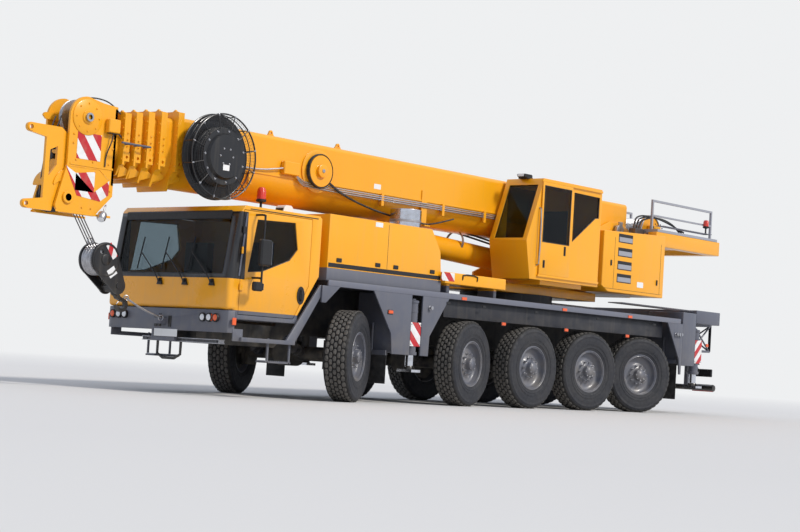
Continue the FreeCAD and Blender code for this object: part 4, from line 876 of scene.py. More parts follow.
def make_mouths():
    """Finned flange, eared pads, wear bars and bolts at each section's mouth."""
    for step, front, body in MOUTHS:
        form = Form(yellow_paint)
        wide, high = BOOM_HALF + 0.064 - step * NEST_STEP, BOOM_TOP + 0.062 - step * NEST_STEP
        fin, mouth = wide - 0.06, section_outline(step + 1, 0.004)
        outline = [(wide, 3.1), (wide, high - 0.03), (wide - 0.03, high), (fin, high),
                   (fin - 0.03, high + 0.03), (fin - 0.08, high)]
        outline += [(-y, z) for y, z in reversed(outline)]
        outline += [(-wide * 0.8, 3.1), (-wide * 0.62, BOOM_AXIS - wide - 0.004),
                    (wide * 0.62, BOOM_AXIS - wide - 0.004), (wide * 0.8, 3.1)]
        slab(form, [outline, mouth], "x", front - 0.03, front + 0.003)
        slab(form, [section_outline(step, 0.04), section_outline(step, 0.002)], "x", front - 0.118,
             front - 0.096)
        for side in (-1, 1):
            pad = [(front - 0.114, 3.15), (front - 0.02, 3.15), (front - 0.02, 3.27),
                   (front - 0.114, 3.27)]
            slab(form, [pad, circle((front - 0.067, 3.21), 0.022, 16)], "y",
                 *sided(side, wide - 0.075, wide + 0.001))
            form.rod((front - 0.062, side * (wide - 0.028), 3.3),
                     (front - 0.062, side * (wide - 0.028), high - 0.05), 0.02, 16, 0.004)
            ear = ((0.03, 0.8, 3.12), (0.2, 0.74, 3.03), (0.2, 0.7, 2.99), (0.03, 0.66, 2.93))
            form.plate([(front - back, side * wide * share, z) for back, share, z in ear], 0.014)
        form.build(f"mouth_flange_{step}", body)
        spots = []
        for side in (-1, 1):
            spots += [((front + 0.003, side * (wide - 0.022), z), AHEAD, UP, (0.013, 0.013, 0.016))
                      for z in (3.18, 3.33, 3.47, 3.61, 3.74)]
            spots += [((front - 0.067, side * (wide + 0.001), z), (0, side, 0), AHEAD,
                       (0.01, 0.01, 0.012)) for z in (3.36, 3.45, 3.54)]
        spots += [((front + 0.003, y, high - 0.028), AHEAD, UP, (0.013, 0.013, 0.016))
                  for y in (-0.24, -0.12, 0.0, 0.12, 0.24)]
        scattered(f"mouth_bolts_{step}", hex_bolt, spots, yellow_paint, body)


def grooved(form, centre, count, radius, pitch=0.062):
    """Sheaves side by side about the Y axis, one rope groove each."""
    start = -count * pitch / 2
    profile = [(0.0, start)]
    for index in range(count):
        low = start + index * pitch
        profile += [(radius, low), (radius, low + 0.01), (radius - 0.02, low + 0.02),
                    (radius - 0.027, low + pitch / 2), (radius - 0.02, low + pitch - 0.02),
                    (radius, low + pitch - 0.01)]
    profile += [(radius, -start), (0.0, -start)]
    form.lathe(profile, centre, LEFT, 56)


def make_head():
    """Innermost section with the head: side plates, sheaves, cover, jib adapter and fittings."""
    form = Form(yellow_paint)
    slab(form, [section_outline(5), section_outline(5, -0.014, 0.06)], "x", -6.65,
         HEAD_REAR + 0.001)
    brow = 0.28
    plate = arced([(HEAD_REAR, 2.65), (4.14, 2.35), (4.69, 2.35, 0.11), (4.79, 2.45), (4.64, 3.0),
                   (4.64, 3.67, brow), (4.36, 3.95), (4.1, 3.9), (HEAD_REAR, 3.88)], 12)
    window = [(4.18, 2.68), (4.48, 2.68), (4.48, 2.89), (4.18, 2.94)]
    for side in (-1, 1):
        outer = side * HEAD_HALF
        slab(form, [plate, window], "y", *sided(side, 0.23, HEAD_HALF))
        form.rod((TOP_X, outer, TOP_Z), (TOP_X, side * 0.306, TOP_Z), 0.095, 32, 0.008)
        form.lathe([(0.245, 0), (0.245, 0.01), (0.232, 0.018), (0.0, 0.018)], (TOP_X, outer, TOP_Z),
                   (0, side, 0), 48)
        form.rod((LOW_X, outer, LOW_Z), (LOW_X, side * 0.3, LOW_Z), 0.085, 32, 0.008)
        form.box((HEAD_REAR + 0.02, 4.6), sided(side, HEAD_HALF, 0.278), (3.005, 3.035),
                 0.003)
        form.box((HEAD_REAR + 0.01, 4.78), sided(side, HEAD_HALF, 0.276), (2.352, 2.382),
                 0.003)
    form.box((HEAD_REAR, HEAD_REAR + 0.04), (-0.27, 0.27), (2.8, 3.85))
    form.box((HEAD_REAR, HEAD_REAR + 0.2), (0.268, 0.36), (3.51, 3.7), 0.012)
    cover = arced([(4.58, 3.4), (4.58, 2.94), (4.66, 2.775, -0.25), (4.795, 2.71),
                   (4.81, 2.725, 0.25), (4.61, 2.94), (4.61, 3.4)], 8)
    slab(form, [cover], "y", -0.231, 0.231)
    slab(form, [arced([(4.3, 3.625), (4.7, 3.625), (4.745, 3.67, 0.045), (4.7, 3.715),
                       (4.3, 3.715)])], "y", -0.22, -0.19)
    eye = JIB_EYE_X
    adapter = arced([(4.59, 2.915), (4.81, 2.355), (eye, 2.355, 0.06), (5.28, 2.415, 0.06),
                     (eye, 2.475), (4.96, 2.515), (4.96, 3.325), (eye, 3.365, 0.06),
                     (5.28, 3.425, 0.06), (eye, 3.485), (4.72, 3.485), (4.59, 3.385)])
    slot_hole = [(4.77, 2.975), (4.89, 2.815), (4.89, 3.165), (4.77, 3.225)]
    slab(form, [adapter, slot_hole, circle((eye, 2.415), 0.03), circle((eye, 3.425), 0.03)], "y",
         0.17, 0.215)
    for z in JIB_EYES_Z:
        form.lathe([(0.03, 0), (0.052, 0), (0.052, 0.012), (0.03, 0.012)], (eye, 0.215, z), LEFT,
                   28)
    form.paint(worn_steel)
    grooved(form, (TOP_X, 0, TOP_Z), 1, 0.25)
    form.lathe([(0.034, 0.0), (0.06, 0.0), (0.06, 0.03), (0.034, 0.03)], (TOP_X, 0.306, TOP_Z),
               LEFT, 24)
    form.paint(black_plastic)
    grooved(form, (LOW_X, 0, LOW_Z), 5, 0.195)
    for x, z in ((TOP_X, TOP_Z), (LOW_X, LOW_Z)):
        form.rod((x, -0.3, z), (x, 0.3, z), 0.05)
    form.box((HEAD_REAR + 0.015, HEAD_REAR + 0.185), (0.285, 0.345), (3.5, 3.512))
    head = form.build("boom_head", "boom_section_5")
    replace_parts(head, "boom_section_5")
    spots = [(Vector((TOP_X, 0.288, TOP_Z)) + out * 0.19, LEFT, AHEAD, (0.011, 0.011, 0.014))
             for out in around(8)]
    bolts = ((3.9, 3.3), (3.9, 3.42), (4.56, 3.3), (4.56, 3.42), (3.9, 2.72), (4.2, 2.45),
             (4.35, 2.45), (4.5, 3.08), (3.95, 3.08), (4.22, 3.08))
    spots += [((x, HEAD_HALF, z), LEFT, AHEAD, (0.013, 0.013, 0.016)) for x, z in bolts]
    scattered("boom_head_bolts", hex_bolt, spots, yellow_paint, "boom_section_5")
    plates = Form(head_stripe)
    plates.box((4.1, 4.5), (0.269, 0.274), (3.1, 3.46), 0.001)
    slab(plates, [[(3.92, 2.66), (4.06, 2.56), (4.45, 2.6), (4.66, 2.98), (4.1, 2.985),
                   (3.92, 2.86)], [(4.17, 2.67), (4.49, 2.67), (4.49, 2.9), (4.17, 2.95)]], "y",
         0.269, 0.274)
    plates.build("head_warning_plates", "boom_section_5")


def make_head_fittings():
    """Couplings, lamp, ropes and chain that hang about the head."""
    form = Form(black_plastic)
    for x, z in ((4.7, 3.23), (4.72, 3.1)):
        form.rod((x - 0.06, 0.1, z), (x + 0.05, 0.1, z), 0.038, 20, 0.006)
        form.rod((x + 0.05, 0.1, z), (x + 0.075, 0.1, z), 0.046, 20, 0.005)
    form.box((4.615, 4.66), (0.02, 0.18), (3.03, 3.3), 0.008)
    form.paint(worn_steel)
    form.lathe([(0.0, 0.0), (0.055, 0.0), (0.062, 0.02), (0.062, 0.09), (0.05, 0.11), (0.0, 0.11)],
               (4.02, 0.31, 2.4), (0.5, 0.3, -0.8), 24)
    form.tube([(3.95, 0.27, 2.52), (3.98, 0.3, 2.5), (4.01, 0.31, 2.42)], 0.012, 10, 2)
    form.paint(clear_lens)
    form.lathe([(0.0, 0.108), (0.048, 0.108), (0.044, 0.116), (0.0, 0.12)], (4.02, 0.31, 2.4),
               (0.5, 0.3, -0.8), 24)
    form.build("head_couplings", "boom_section_5")
    cable = Form(black_rubber)
    cable.tube([(4.3, 0.12, 3.955), (4.12, 0.16, 3.975), (3.95, 0.22, 3.935), (3.8, 0.26, 3.8)],
               0.01, 8, 2)
    cable.tube([(3.84, 0.3, 3.52), (3.7, 0.33, 3.38), (3.66, 0.33, 3.26)], 0.012, 8, 2)
    cable.tube([(3.95, 0.33, 3.5), (3.97, 0.33, 3.38), (4.02, 0.285, 3.2), (4.02, 0.282, 3.04)],
               0.009, 8, 2)
    cable.build("head_cables", "boom_section_5")
    rope = Form(dark_steel)
    for y in (-0.093, 0.031):
        rope.tube([(4.613, y, 3.67), (4.72, y, 3.35), (4.785, y, 2.8), (4.792, y, 2.58)], 0.01, 8,
                  1)
    rope.build("head_hoist_ropes", "boom_section_5")


def make_hook_block():
    """Hook block of rounded cheeks hung on its rope falls, leaned back as it is tied."""
    lean = math.radians(36)
    pose = Matrix.Translation((4.25 + FIRST_AXLE, 0, 2.44)) @ Matrix.Rotation(lean, 4, "Y")
    form = Form(black_paint, pose)
    middle, foot = -0.8, -1.22
    cheek = arced([(0.24, middle, 0.24), (0.0, middle + 0.24, 0.24), (-0.24, middle),
                   (-0.12, foot, 0.12), (0.0, foot - 0.12, 0.12), (0.12, foot)], 12)
    for side in (-1, 1):
        outer = side * 0.15
        slab(form, [cheek, circle((0.0, middle + 0.13), 0.03, 16)], "y",
             *sided(side, 0.124, 0.15))
        form.lathe([(0.075, 0), (0.075, 0.008), (0.058, 0.014), (0.0, 0.014)], (0, outer, middle),
                   (0, side, 0), 28)
        form.lathe([(0.232, 0.0), (0.232, 0.006), (0.216, 0.01), (0.205, 0.004), (0.205, 0.0)],
                   (0, outer, middle), (0, side, 0), 48)
    slab(form, [[(-0.236, middle - 0.05), (-0.236, middle + 0.05), (-0.22, middle + 0.05),
                 (-0.22, middle - 0.05)]], "y", -0.125, 0.125)
    form.box((-0.085, 0.085), (-0.126, 0.126), (foot - 0.06, foot + 0.06), 0.01)
    form.rod((0, -0.165, foot), (0, 0.165, foot), 0.045, 24, 0.005)
    centre = foot - 0.12 - 0.19
    bowl = arced([(0.035, foot), (-0.035, foot), (-0.035, centre + 0.11), (-0.105, centre, 0.105),
                  (0.0, centre - 0.105, 0.105), (0.105, centre), (0.09, centre + 0.05),
                  (0.055, centre, -0.055), (0.0, centre - 0.055, -0.055), (-0.055, centre),
                  (0.035, centre + 0.12)], 8)
    slab(form, [bowl], "y", -0.03, 0.03)
    form.lathe([(0.0, 0.0), (0.06, 0.0), (0.06, 0.05), (0.045, 0.06), (0.0, 0.06)],
               (0, 0, foot - 0.125), UP, 24)
    form.paint(worn_steel)
    grooved(form, (0, 0, middle), 4, 0.22)
    form.ring((0, 0, middle + 0.3), LEFT, 0.045, 0.011, 28, 8)
    form.rod((0, -0.03, middle + 0.255), (0, 0.03, middle + 0.255), 0.012, 12)
    form.tube([(0.06, 0.0, centre + 0.045), (0.02, 0.0, centre + 0.06),
               (-0.03, 0.0, centre + 0.05)], 0.007, 8, 1)
    form.paint(dark_steel)
    for y in (-0.087, -0.027, 0.033, 0.093):
        form.rod((0.012, y, middle + 0.1), (0.0, y, -0.01), 0.008, 8)
    form.rod((0, -0.14, 0), (0, 0.14, 0), 0.022, 16)
    form.paint(white_paint)
    form.box((-0.07, 0.07), (0.15, 0.1525), (middle - 0.26, middle - 0.14), 0.0005)
    form.paint(hook_stripe)
    form.box((-0.2, -0.1), (0.15, 0.153), (middle - 0.06, middle + 0.16), 0.0005)
    block = form.build("hook_block_with_falls", "hook_block")
    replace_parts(block, "hook_block")


def make_reel():
    """Cable reel: spoked open face with a mesh, rim clips, bolted hub and a blank label."""
    x, z, inner, outer, radius, hub = 2.37, 3.38, 0.64, 0.85, 0.615, 0.4
    form = Form(black_paint)
    form.lathe([(0.0, 0.0), (radius, 0.0), (radius, 0.012), (0.32, 0.012),
                (0.32, outer - inner - 0.012), (hub, outer - inner - 0.012), (hub, outer - inner),
                (0.33, outer - inner), (0.305, outer - inner + 0.045),
                (0.0, outer - inner + 0.052)], (x, inner, z), LEFT, 72)
    for level in (0.006, outer - inner - 0.006):
        form.ring((x, inner + level, z), LEFT, radius - 0.012, 0.012, 84, 8)
    form.ring((x, inner + 0.105, z), LEFT, radius - 0.02, 0.008, 84, 8)
    for out in around(12, 0.5):
        spot = Vector((x, outer - 0.006, z))
        form.tube([spot + out * (hub - 0.01), spot + out * (radius - 0.01)], 0.008, 8)
        rung = Vector((x, inner, z)) + out * (radius - 0.012)
        form.tube([rung, rung + Vector((0, outer - inner, 0))], 0.007, 8)
    for level in range(1, 6):
        form.ring((x, outer - 0.004, z), LEFT, hub + level * 0.034, 0.0022, 72, 4)
    for out in around(72):
        spot = Vector((x, outer - 0.003, z))
        form.tube([spot + out * hub, spot + out * (radius - 0.02)], 0.0018, 4)
    form.paint(black_rubber)
    for level in range(5):
        for turn_radius, shift in ((0.355, 0.016), (0.395, 0.01)):
            form.ring((x, inner + 0.032 + level * 0.036, z), LEFT,
                      turn_radius + shift * (level % 2), 0.017, 64, 8)
    form.paint(white_paint)
    form.box((x - 0.06, x + 0.06), (outer + 0.05, outer + 0.0535), (z - 0.2, z - 0.12), 0.0005)
    reel = form.build("cable_reel_basket", "cable_reel")
    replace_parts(reel, "cable_reel")
    spots = []
    rows = ((11, 0.0, 0.365, 0.001, (0.013, 0.013, 0.014)), (6, 0.0, 0.12, 0.05, 0.012),
            (12, 0.5, 0.597, 0.003, (0.018, 0.009, 0.014)))
    for count, shift, circle_radius, level, size in rows:
        spots += [(Vector((x, outer + level, z)) + out * circle_radius, LEFT, out, size)
                  for out in around(count, shift)]
    scattered("reel_bolts", hex_bolt, spots, worn_steel, "cable_reel")


def make_boom_fittings():
    """Hose drum, junction box, pipes, hoses, lugs and labels along the base section."""
    side = BOOM_HALF
    form = Form(yellow_paint)
    for x, half in ((1.0, 0.07), (-0.45, 0.09)):
        lug = arced([(x - half, 3.875), (x + half, 3.875), (x + 0.035, 3.94, 0.035),
                     (x, 3.975, 0.035), (x - 0.035, 3.94)])
        slab(form, [lug, circle((x, 3.932), 0.018, 16)], "y", 0.3, 0.33)
    form.lathe([(0.33, 0.0), (0.33, 0.022), (0.3, 0.03), (0.24, 0.034), (0.24, 0.105), (0.1, 0.105),
                (0.1, 0.15), (0.086, 0.156), (0.0, 0.156)],
               (HOSE_DRUM_X, side - 0.002, HOSE_DRUM_Z), LEFT, 56)
    form.box((0.52, 0.85), (side - 0.002, 0.515), (3.335, 3.535), 0.012)
    for outer, high in ((0.45, 3.47), (0.54, 2.9)):
        form.box((-2.51, -2.37), (side - 0.002, outer), (2.88, high), 0.004)
    form.box((-7.7, 2.85), (side - 0.001, side + 0.012), (3.285, 3.315), 0.003)
    for x in (-7.2, -5.6, -4.0, -2.9, -1.4, 1.5):
        form.box((x - 0.03, x + 0.03), (side - 0.001, side + 0.045), (3.1, 3.3), 0.004)
    form.build("boom_side_fittings", "boom_base")
    pipes = Form(worn_steel)
    for z in (3.255, 3.225, 3.195):
        pipes.tube([(-7.3, side + 0.028, z), (-2.55, side + 0.028, z), (-2.42, side + 0.036, z),
                    (0.35, side + 0.036, z), (0.5, side + 0.05, z + 0.06),
                    (0.56, side + 0.05, 3.34)], 0.011, 8, 1)
    pipes.tube([(0.85, side + 0.05, 3.42), (1.3, side + 0.04, 3.34), (1.72, side + 0.03, 3.34)],
               0.013, 8, 1)
    pipes.rod((HOSE_DRUM_X, side + 0.1, HOSE_DRUM_Z), (HOSE_DRUM_X, side + 0.165, HOSE_DRUM_Z),
              0.03, 20, 0.004)
    pipes.build("boom_side_pipes", "boom_base")
    hoses = Form(black_rubber)
    for shift in (0.0, 0.035):
        hoses.tube([(-0.1 - shift, side + 0.07, 3.32), (-0.45 - shift, side + 0.06, 3.16),
                    (-1.1 - shift, side + 0.05, 3.02), (-1.9 - shift, side + 0.05, 2.93),
                    (-2.44, side + 0.06 + shift, 2.915)], 0.013, 8, 2)
    hoses.tube([(-2.44, side + 0.06, 2.91), (-2.75, side + 0.03, 2.96), (-3.2, side + 0.02, 3.08)],
               0.013, 8, 2)
    for step in range(6):
        place = (HOSE_DRUM_X, side + 0.042 + step * 0.011, HOSE_DRUM_Z)
        hoses.ring(place, LEFT, 0.252 + 0.004 * (step % 2), 0.0075, 56, 6)
    hoses.build("boom_side_hoses", "boom_base")
    label = Form(white_paint)
    label.box((-1.38, -1.22), (side, side + 0.0015), (3.36, 3.44), 0.0004)
    label.build("boom_blank_label", "boom_base")
    rod = Form(grey_paint)
    rod.rod((3.93, 0.5, 3.38), (3.42, 0.5, 3.38), 0.014, 14, 0.003)
    for x in (3.46, 3.62, 3.78):
        rod.box((x - 0.012, x + 0.012), (0.38, 0.505), (3.365, 3.395), 0.002)
    rod.build("mouth_guide_rod", "boom_section_1")


# Driver's cab and front
CAB_FRONT, CAB_ROOF, SCREEN_FOOT, SCREEN_LEAN = 2.54, 2.688, 1.65, 0.14 / 0.94
WIPERS_Y, WIPER_Z = (-0.14, 0.4, 0.968), 1.605
MIRROR_X, MIRROR_Y, MIRROR_TOP = 2.1, 1.485, 2.575
BEACON, LAMP_Z, LAMPS_Y = (1.37, 0.6), 1.1, (0.85, 0.985, 1.12)


def screen_x(z):
    """Front of the cab at a height: upright below the windscreen, leaning back above its foot."""
    return CAB_FRONT - max(z - SCREEN_FOOT, 0.0) * SCREEN_LEAN


def roll_sheet_edges():
    front = FIRST_AXLE + 2.38

    def corner(edge):
        return all(vert.co.x > front and abs(vert.co.y) > 1.29 for vert in edge.verts)

    softened("driver_cab", 0.016, corners=(0.085, corner))
    for node in ("door_left", "door_right", "operator_door"):
        softened(node, 0.006)
    for node, width in (("engine_hood", 0.03), ("machinery_housing", 0.028), ("operator_cab", 0.03),
                        ("turntable", 0.008)):
        softened(node, width, 3)
    for node, width in (("front_bumper", 0.014), ("storage_boxes", 0.012),
                        ("deck_and_skins", 0.008)):
        softened(node, width)


def make_windscreen_trim():
    """Rubber seal, sun visor, grey pillar strips and three wipers."""
    seal_panes("windscreen_seal", "driver_cab_glass", (1, 0, 0.15), radius=0.014)
    form = Form(black_plastic)
    visor_low, visor_high = screen_x(2.5) + 0.012, screen_x(2.6) + 0.03
    slab(form, [[(visor_low, 2.5), (visor_high, 2.6), (visor_high - 0.02, 2.615),
                 (screen_x(2.6), 2.6), (screen_x(2.5), 2.49)]], "y", -1.13, 1.13)
    for y in WIPERS_Y:
        x = screen_x(1.6)
        slab(form, [[(y - 0.055, 1.545), (y + 0.055, 1.545), (y + 0.018, 1.64), (y - 0.018, 1.64)]],
             "x", x, x + 0.03)
        form.rod((x + 0.02, y, WIPER_Z), (x + 0.055, y, WIPER_Z), 0.02, 16, 0.004)
        lean = -0.52
        tip = Vector((screen_x(2.1) + 0.03, y + lean, 2.02))
        form.tube([(x + 0.05, y, WIPER_Z), (screen_x(1.75) + 0.055, y + lean * 0.25, 1.74), tip],
                  0.009, 8, 1)
        blade = tip - Vector((screen_x(1.78) + 0.022, y + lean - 0.02, 1.78))
        low = tip - blade * 1.05
        for behind, radius in ((0.0, 0.008), (0.01, 0.005)):
            form.tube([spot - Vector((behind, 0, 0)) for spot in (low, tip, tip + blade * 0.9)],
                      radius, 6)
    form.build("wipers_and_visor", "carrier")
    strip = Form(grey_paint)
    for side in (-1, 1):
        y = side * 1.304
        corners = [(x, y, z) for x, z in ((2.345, 1.7), (2.375, 1.7), (2.292, 2.58), (2.262, 2.58))]
        strip.plate(corners[::-side], 0.004)
    strip.build("pillar_strips", "carrier")


def make_doors_trim():
    """Handles, seals, hinges and the mirrors that swing with the doors."""
    for label, side in (("left", 1), ("right", -1)):
        body = f"door_{label}"
        seal_panes(f"{body}_seal", f"door_glass_{label}", (0, side, 0), radius=0.011)
        form = Form(black_plastic)
        oval = [(1.13 + 0.075 * out.x, 1.51 + 0.13 * out.z) for out in around(28)]
        slab(form, [oval], "y", *sided(side, 1.299, 1.308))
        form.tube([(1.125, side * 1.306, 1.585), (1.14, side * 1.335, 1.57),
                   (1.14, side * 1.335, 1.45), (1.125, side * 1.306, 1.435)], 0.011, 10, 1)
        stem_y = side * MIRROR_Y
        for z in (MIRROR_TOP, 1.69):
            arm = [(MIRROR_X, side * 1.295, z), (MIRROR_X, side * 1.46, z),
                   (MIRROR_X, stem_y, z - 0.02)]
            form.tube(arm, 0.015, 12, 1)
        form.tube([(MIRROR_X, stem_y, MIRROR_TOP), (MIRROR_X, stem_y, 1.53)], 0.015, 12)
        for low, high, x in ((1.86, 2.23, (1.995, 2.205)), (1.5, 1.63, (2.12, 2.29))):
            form.box(x, sided(side, 1.478, 1.568), (low, high), 0.022)
        form.paint(polished_steel)
        for low, high, x in ((1.885, 2.205, (2.015, 2.185)), (1.52, 1.61, (2.135, 2.275))):
            form.box((x[0] - 0.022, x[0] - 0.019), sided(side, 1.49, 1.556), (low, high), 0.001)
        form.paint(yellow_paint)
        for z in (1.5, 2.01):
            form.rod((2.338, side * 1.318, z), (2.338, side * 1.318, z + 0.095), 0.015, 16, 0.003)
        form.build(f"mirrors_and_handle_{label}", body)


def make_roof_fittings():
    """Beacon on its stand, work lamp and rain gutters on the driver's cab roof."""
    form = Form(black_plastic)
    form.lathe([(0.0, 0.0), (0.05, 0.0), (0.05, 0.03), (0.018, 0.045), (0.018, 0.15),
                (0.074, 0.168), (0.074, 0.205), (0.0, 0.205)], (*BEACON, CAB_ROOF), UP, 28)
    form.box((0.92, 1.08), (0.64, 0.78), (CAB_ROOF, 2.72), 0.008)
    form.paint(red_beacon)
    form.lathe([(0.068, 0.205), (0.068, 0.31), (0.06, 0.352), (0.04, 0.378), (0.0, 0.39)],
               (*BEACON, CAB_ROOF), UP, 32)
    form.paint(white_paint)
    outline = arced([(0.89, 2.7), (1.11, 2.7), (1.08, 2.8, 0.06), (1.02, 2.84), (0.95, 2.84, 0.06),
                     (0.9, 2.79)])
    slab(form, [outline], "y", 0.62, 0.8)
    form.paint(black_plastic)
    form.plate([(1.112, 0.635, 2.712), (1.112, 0.785, 2.712), (1.088, 0.785, 2.792),
                (1.088, 0.635, 2.792)], 0.008)
    for side in (-1, 1):
        form.tube([(2.22, side * 1.296, 2.648), (0.86, side * 1.296, 2.648)], 0.009, 8)
    form.build("roof_beacon_and_lamp", "carrier")


def make_front():
    """Headlamps, blank plate, lower step, tow jaw pin and grating on the bumper."""
    lamps = Form(black_plastic)
    bezel = [(0.046, -0.02), (0.046, 0.004), (0.05, 0.01), (0.06, 0.008), (0.063, -0.002),
             (0.063, -0.02)]
    dome = [(0.0, 0.012), (0.02, 0.011), (0.04, 0.006), (0.0485, -0.004), (0.0485, -0.012),
            (0.0, -0.012)]
    for side in (-1, 1):
        for y in LAMPS_Y:
            lamps.lathe(bezel, (2.585, side * y, LAMP_Z), AHEAD, 36)
        for y, finish in zip(LAMPS_Y, (clear_lens, clear_lens, orange_lens)):
            lamps.paint(finish)
            lamps.lathe(dome, (2.589, side * y, LAMP_Z), AHEAD, 36)
        lamps.box((2.4, 2.47), sided(side, 1.338, 1.36), (1.01, 1.11), 0.006)
        lamps.paint(black_plastic)
    lamps.paint(white_paint)
    lamps.box((2.56, 2.566), (-0.18, 0.32), (0.805, 0.912), 0.002)
    lamps.build("headlamps_and_plate", "carrier")
    step = Form(black_paint)
    step.tube([(2.445, -0.22, 0.74), (2.445, -0.22, 0.5), (2.445, 0.28, 0.5), (2.445, 0.28, 0.74)],
              0.02, 12, 1)
    for y in (-0.04, 0.1):
        step.tube([(2.43, y - 0.05, 0.745), (2.43, y - 0.05, 0.9)], 0.01, 8)
    step.build("front_step_bail", "carrier")
    jaw = Form(black_paint)
    jaw.lathe([(0.0, 0.0), (0.018, 0.004), (0.024, 0.02), (0.024, 0.14), (0.036, 0.145),
               (0.036, 0.16), (0.0, 0.165)], (2.62, 0, 0.935), UP, 20)
    jaw.tube([(2.62, 0.0, 1.1), (2.62, 0.03, 1.125), (2.62, -0.03, 1.125), (2.62, 0.0, 1.1)], 0.005,
             6)
    for y in (-0.15, 0.15):
        jaw.box((2.555, 2.575), (y - 0.03, y + 0.03), (0.94, 1.1), 0.004)
    jaw.build("tow_jaw_pin", "carrier")
    grating = Form(worn_steel)
    for z in (0.745, 0.795):
        grating.box((2.4, 2.512), (-0.5, 1.15), (z - 0.006, z + 0.006), 0.002)
    grating.build("front_plank_strips", "carrier")
    spots = [((2.455, -0.485 + index * 0.03, 0.747), UP, AHEAD, (0.105, 0.005, 0.05))
             for index in range(55)]
    scattered("front_plank_bars", bar, spots, worn_steel, "carrier")
    for label, side in (("left", 1), ("right", -1)):
        entry = Form(grey_paint)
        entry.box((1.25, 1.75), sided(side, 1.1, 1.31), (0.514, 0.539), 0.004)
        for x in (1.27, 1.7):
            entry.box((x, x + 0.03), sided(side, 1.28, 1.31), (0.514, 0.86), 0.004)
        entry.build(f"entry_step_{label}", "carrier")
        spots = [((1.27 + index * 0.042, side * 1.205, 0.538), UP, LEFT, (0.19, 0.006, 0.012))
                 for index in range(12)]
        scattered(f"entry_step_treads_{label}", bar, spots, worn_steel, "carrier")


def make_sling():
    """Taut sling from the hook down to the bumper, with a shackle at each end."""
    form = Form(worn_steel)
    top, low = Vector((3.26, 0.0, 1.3)), Vector((2.66, 0.06, 1.06))
    middle = top.lerp(low, 0.5) - Vector((0, 0, 0.03))
    for shift in (-0.012, 0.012):
        across = Vector((0, shift, 0))
        form.tube([top + across, middle + across * 1.5, low + across], 0.01, 8, 1)
    for spot in (top, low):
        form.ring(spot, (0.3, 1, 0), 0.035, 0.009, 24, 8)
    form.build("hook_tie_sling", "hook_block")


# Carrier
HOOD_SIDE, HOOD_TOP, EXHAUST = 1.3195, 2.748, (-1.66, 0.75)
MARKERS = ((-0.74, 1.394), (-3.522, 1.373), (-5.265, 1.371), (-7.128, 1.366))
MARKER_FACE = 1.378
JACKS = {"front_left": (-1.369, 1), "front_right": (-1.627, -1), "rear_left": (-9.589, 1),
         "rear_right": (-9.847, -1)}
JACK_Y, FOOT_TOP, PLATE_HEIGHTS = 1.262, 0.539, {"front": (0.9, 1.27), "rear": (0.97, 1.41)}
FLAPS = ((-0.8, 0.3, 0.78), (-8.96, 0.27, 0.98))
DECK_BARS_APART, WALK_BOX_SIDE = 0.06, 1.375
TAIL_REAR, TAIL_HALF, BRACE_RADIUS = -10.34, 1.14, 0.016
UNDERRUN_X, UNDERRUN_Z, UNDERRUN_HALF = -10.29, 0.515, 1.31


def make_hood_trim():
    """Seams, latches, blank label and roof louvres of the engine hood."""
    form = Form(black_plastic)
    for side in (-1, 1):
        levels = sided(side, HOOD_SIDE, HOOD_SIDE + 0.003)
        form.box((-1.93, 0.62), levels, (1.972, 2.035), 0.001)
        form.box((-0.664, -0.658), levels, (2.04, 2.715), 0.001)
        for x in (-1.72, -0.86, -0.45, 0.4):
            form.box((x - 0.055, x + 0.055), sided(side, 1.319, 1.334), (2.055, 2.115), 0.006)
    form.paint(white_paint)
    form.box((-0.518, -0.354), (1.319, HOOD_SIDE + 0.003), (2.66, 2.73), 0.001)
    form.build("hood_seams_and_latches", "carrier")
    spots = [((-1.55 + index * 0.055, 0.0, HOOD_TOP), UP, LEFT, (1.5, 0.03, 0.014))
             for index in range(30)]
    scattered("hood_roof_louvres", bar, spots, black_plastic, "carrier")


def make_exhaust_trim():
    """Straps, rolled top ring and outlet of the exhaust."""
    form = Form(worn_steel)
    for z in (2.22, 2.86):
        form.lathe([(0.251, 0.0), (0.257, 0.004), (0.257, 0.036), (0.251, 0.04)], (*EXHAUST, z), UP,
                   48)
    form.ring((*EXHAUST, 3.055), UP, 0.238, 0.012, 48, 8)
    form.paint(black_paint)
    form.lathe([(0.07, 0.0), (0.09, 0.0), (0.09, 0.03), (0.082, 0.03), (0.082, 0.004),
                (0.0, 0.004)], (*EXHAUST, 3.052), UP, 32)
    form.build("exhaust_straps", "carrier")


def make_side_markers():
    """Side marker lamps in black bezels, and hose connectors."""
    form = Form(black_plastic)
    for x, z in MARKERS:
        for side in (-1, 1):
            form.paint(black_plastic)
            bezel = sided(side, MARKER_FACE - 0.03, MARKER_FACE + 0.008)
            form.box((x - 0.062, x + 0.062), bezel, (z - 0.034, z + 0.034), 0.006)
            form.paint(orange_lens)
            glass = sided(side, MARKER_FACE, MARKER_FACE + 0.022)
            form.box((x - 0.052, x + 0.052), glass, (z - 0.025, z + 0.025), 0.008)
    form.build("side_marker_lamps", "carrier")
    caps = Form(worn_steel)
    for x, z in ((-1.654, 1.515), (-8.745, 1.485), (-8.82, 1.485), (-8.896, 1.485)):
        caps.lathe([(0.0, 0.0), (0.034, 0.0), (0.034, 0.018), (0.024, 0.02), (0.024, 0.045),
                    (0.029, 0.047), (0.029, 0.062), (0.0, 0.064)], (x, 1.37, z), LEFT, 20)
    caps.build("hydraulic_couplings", "carrier")


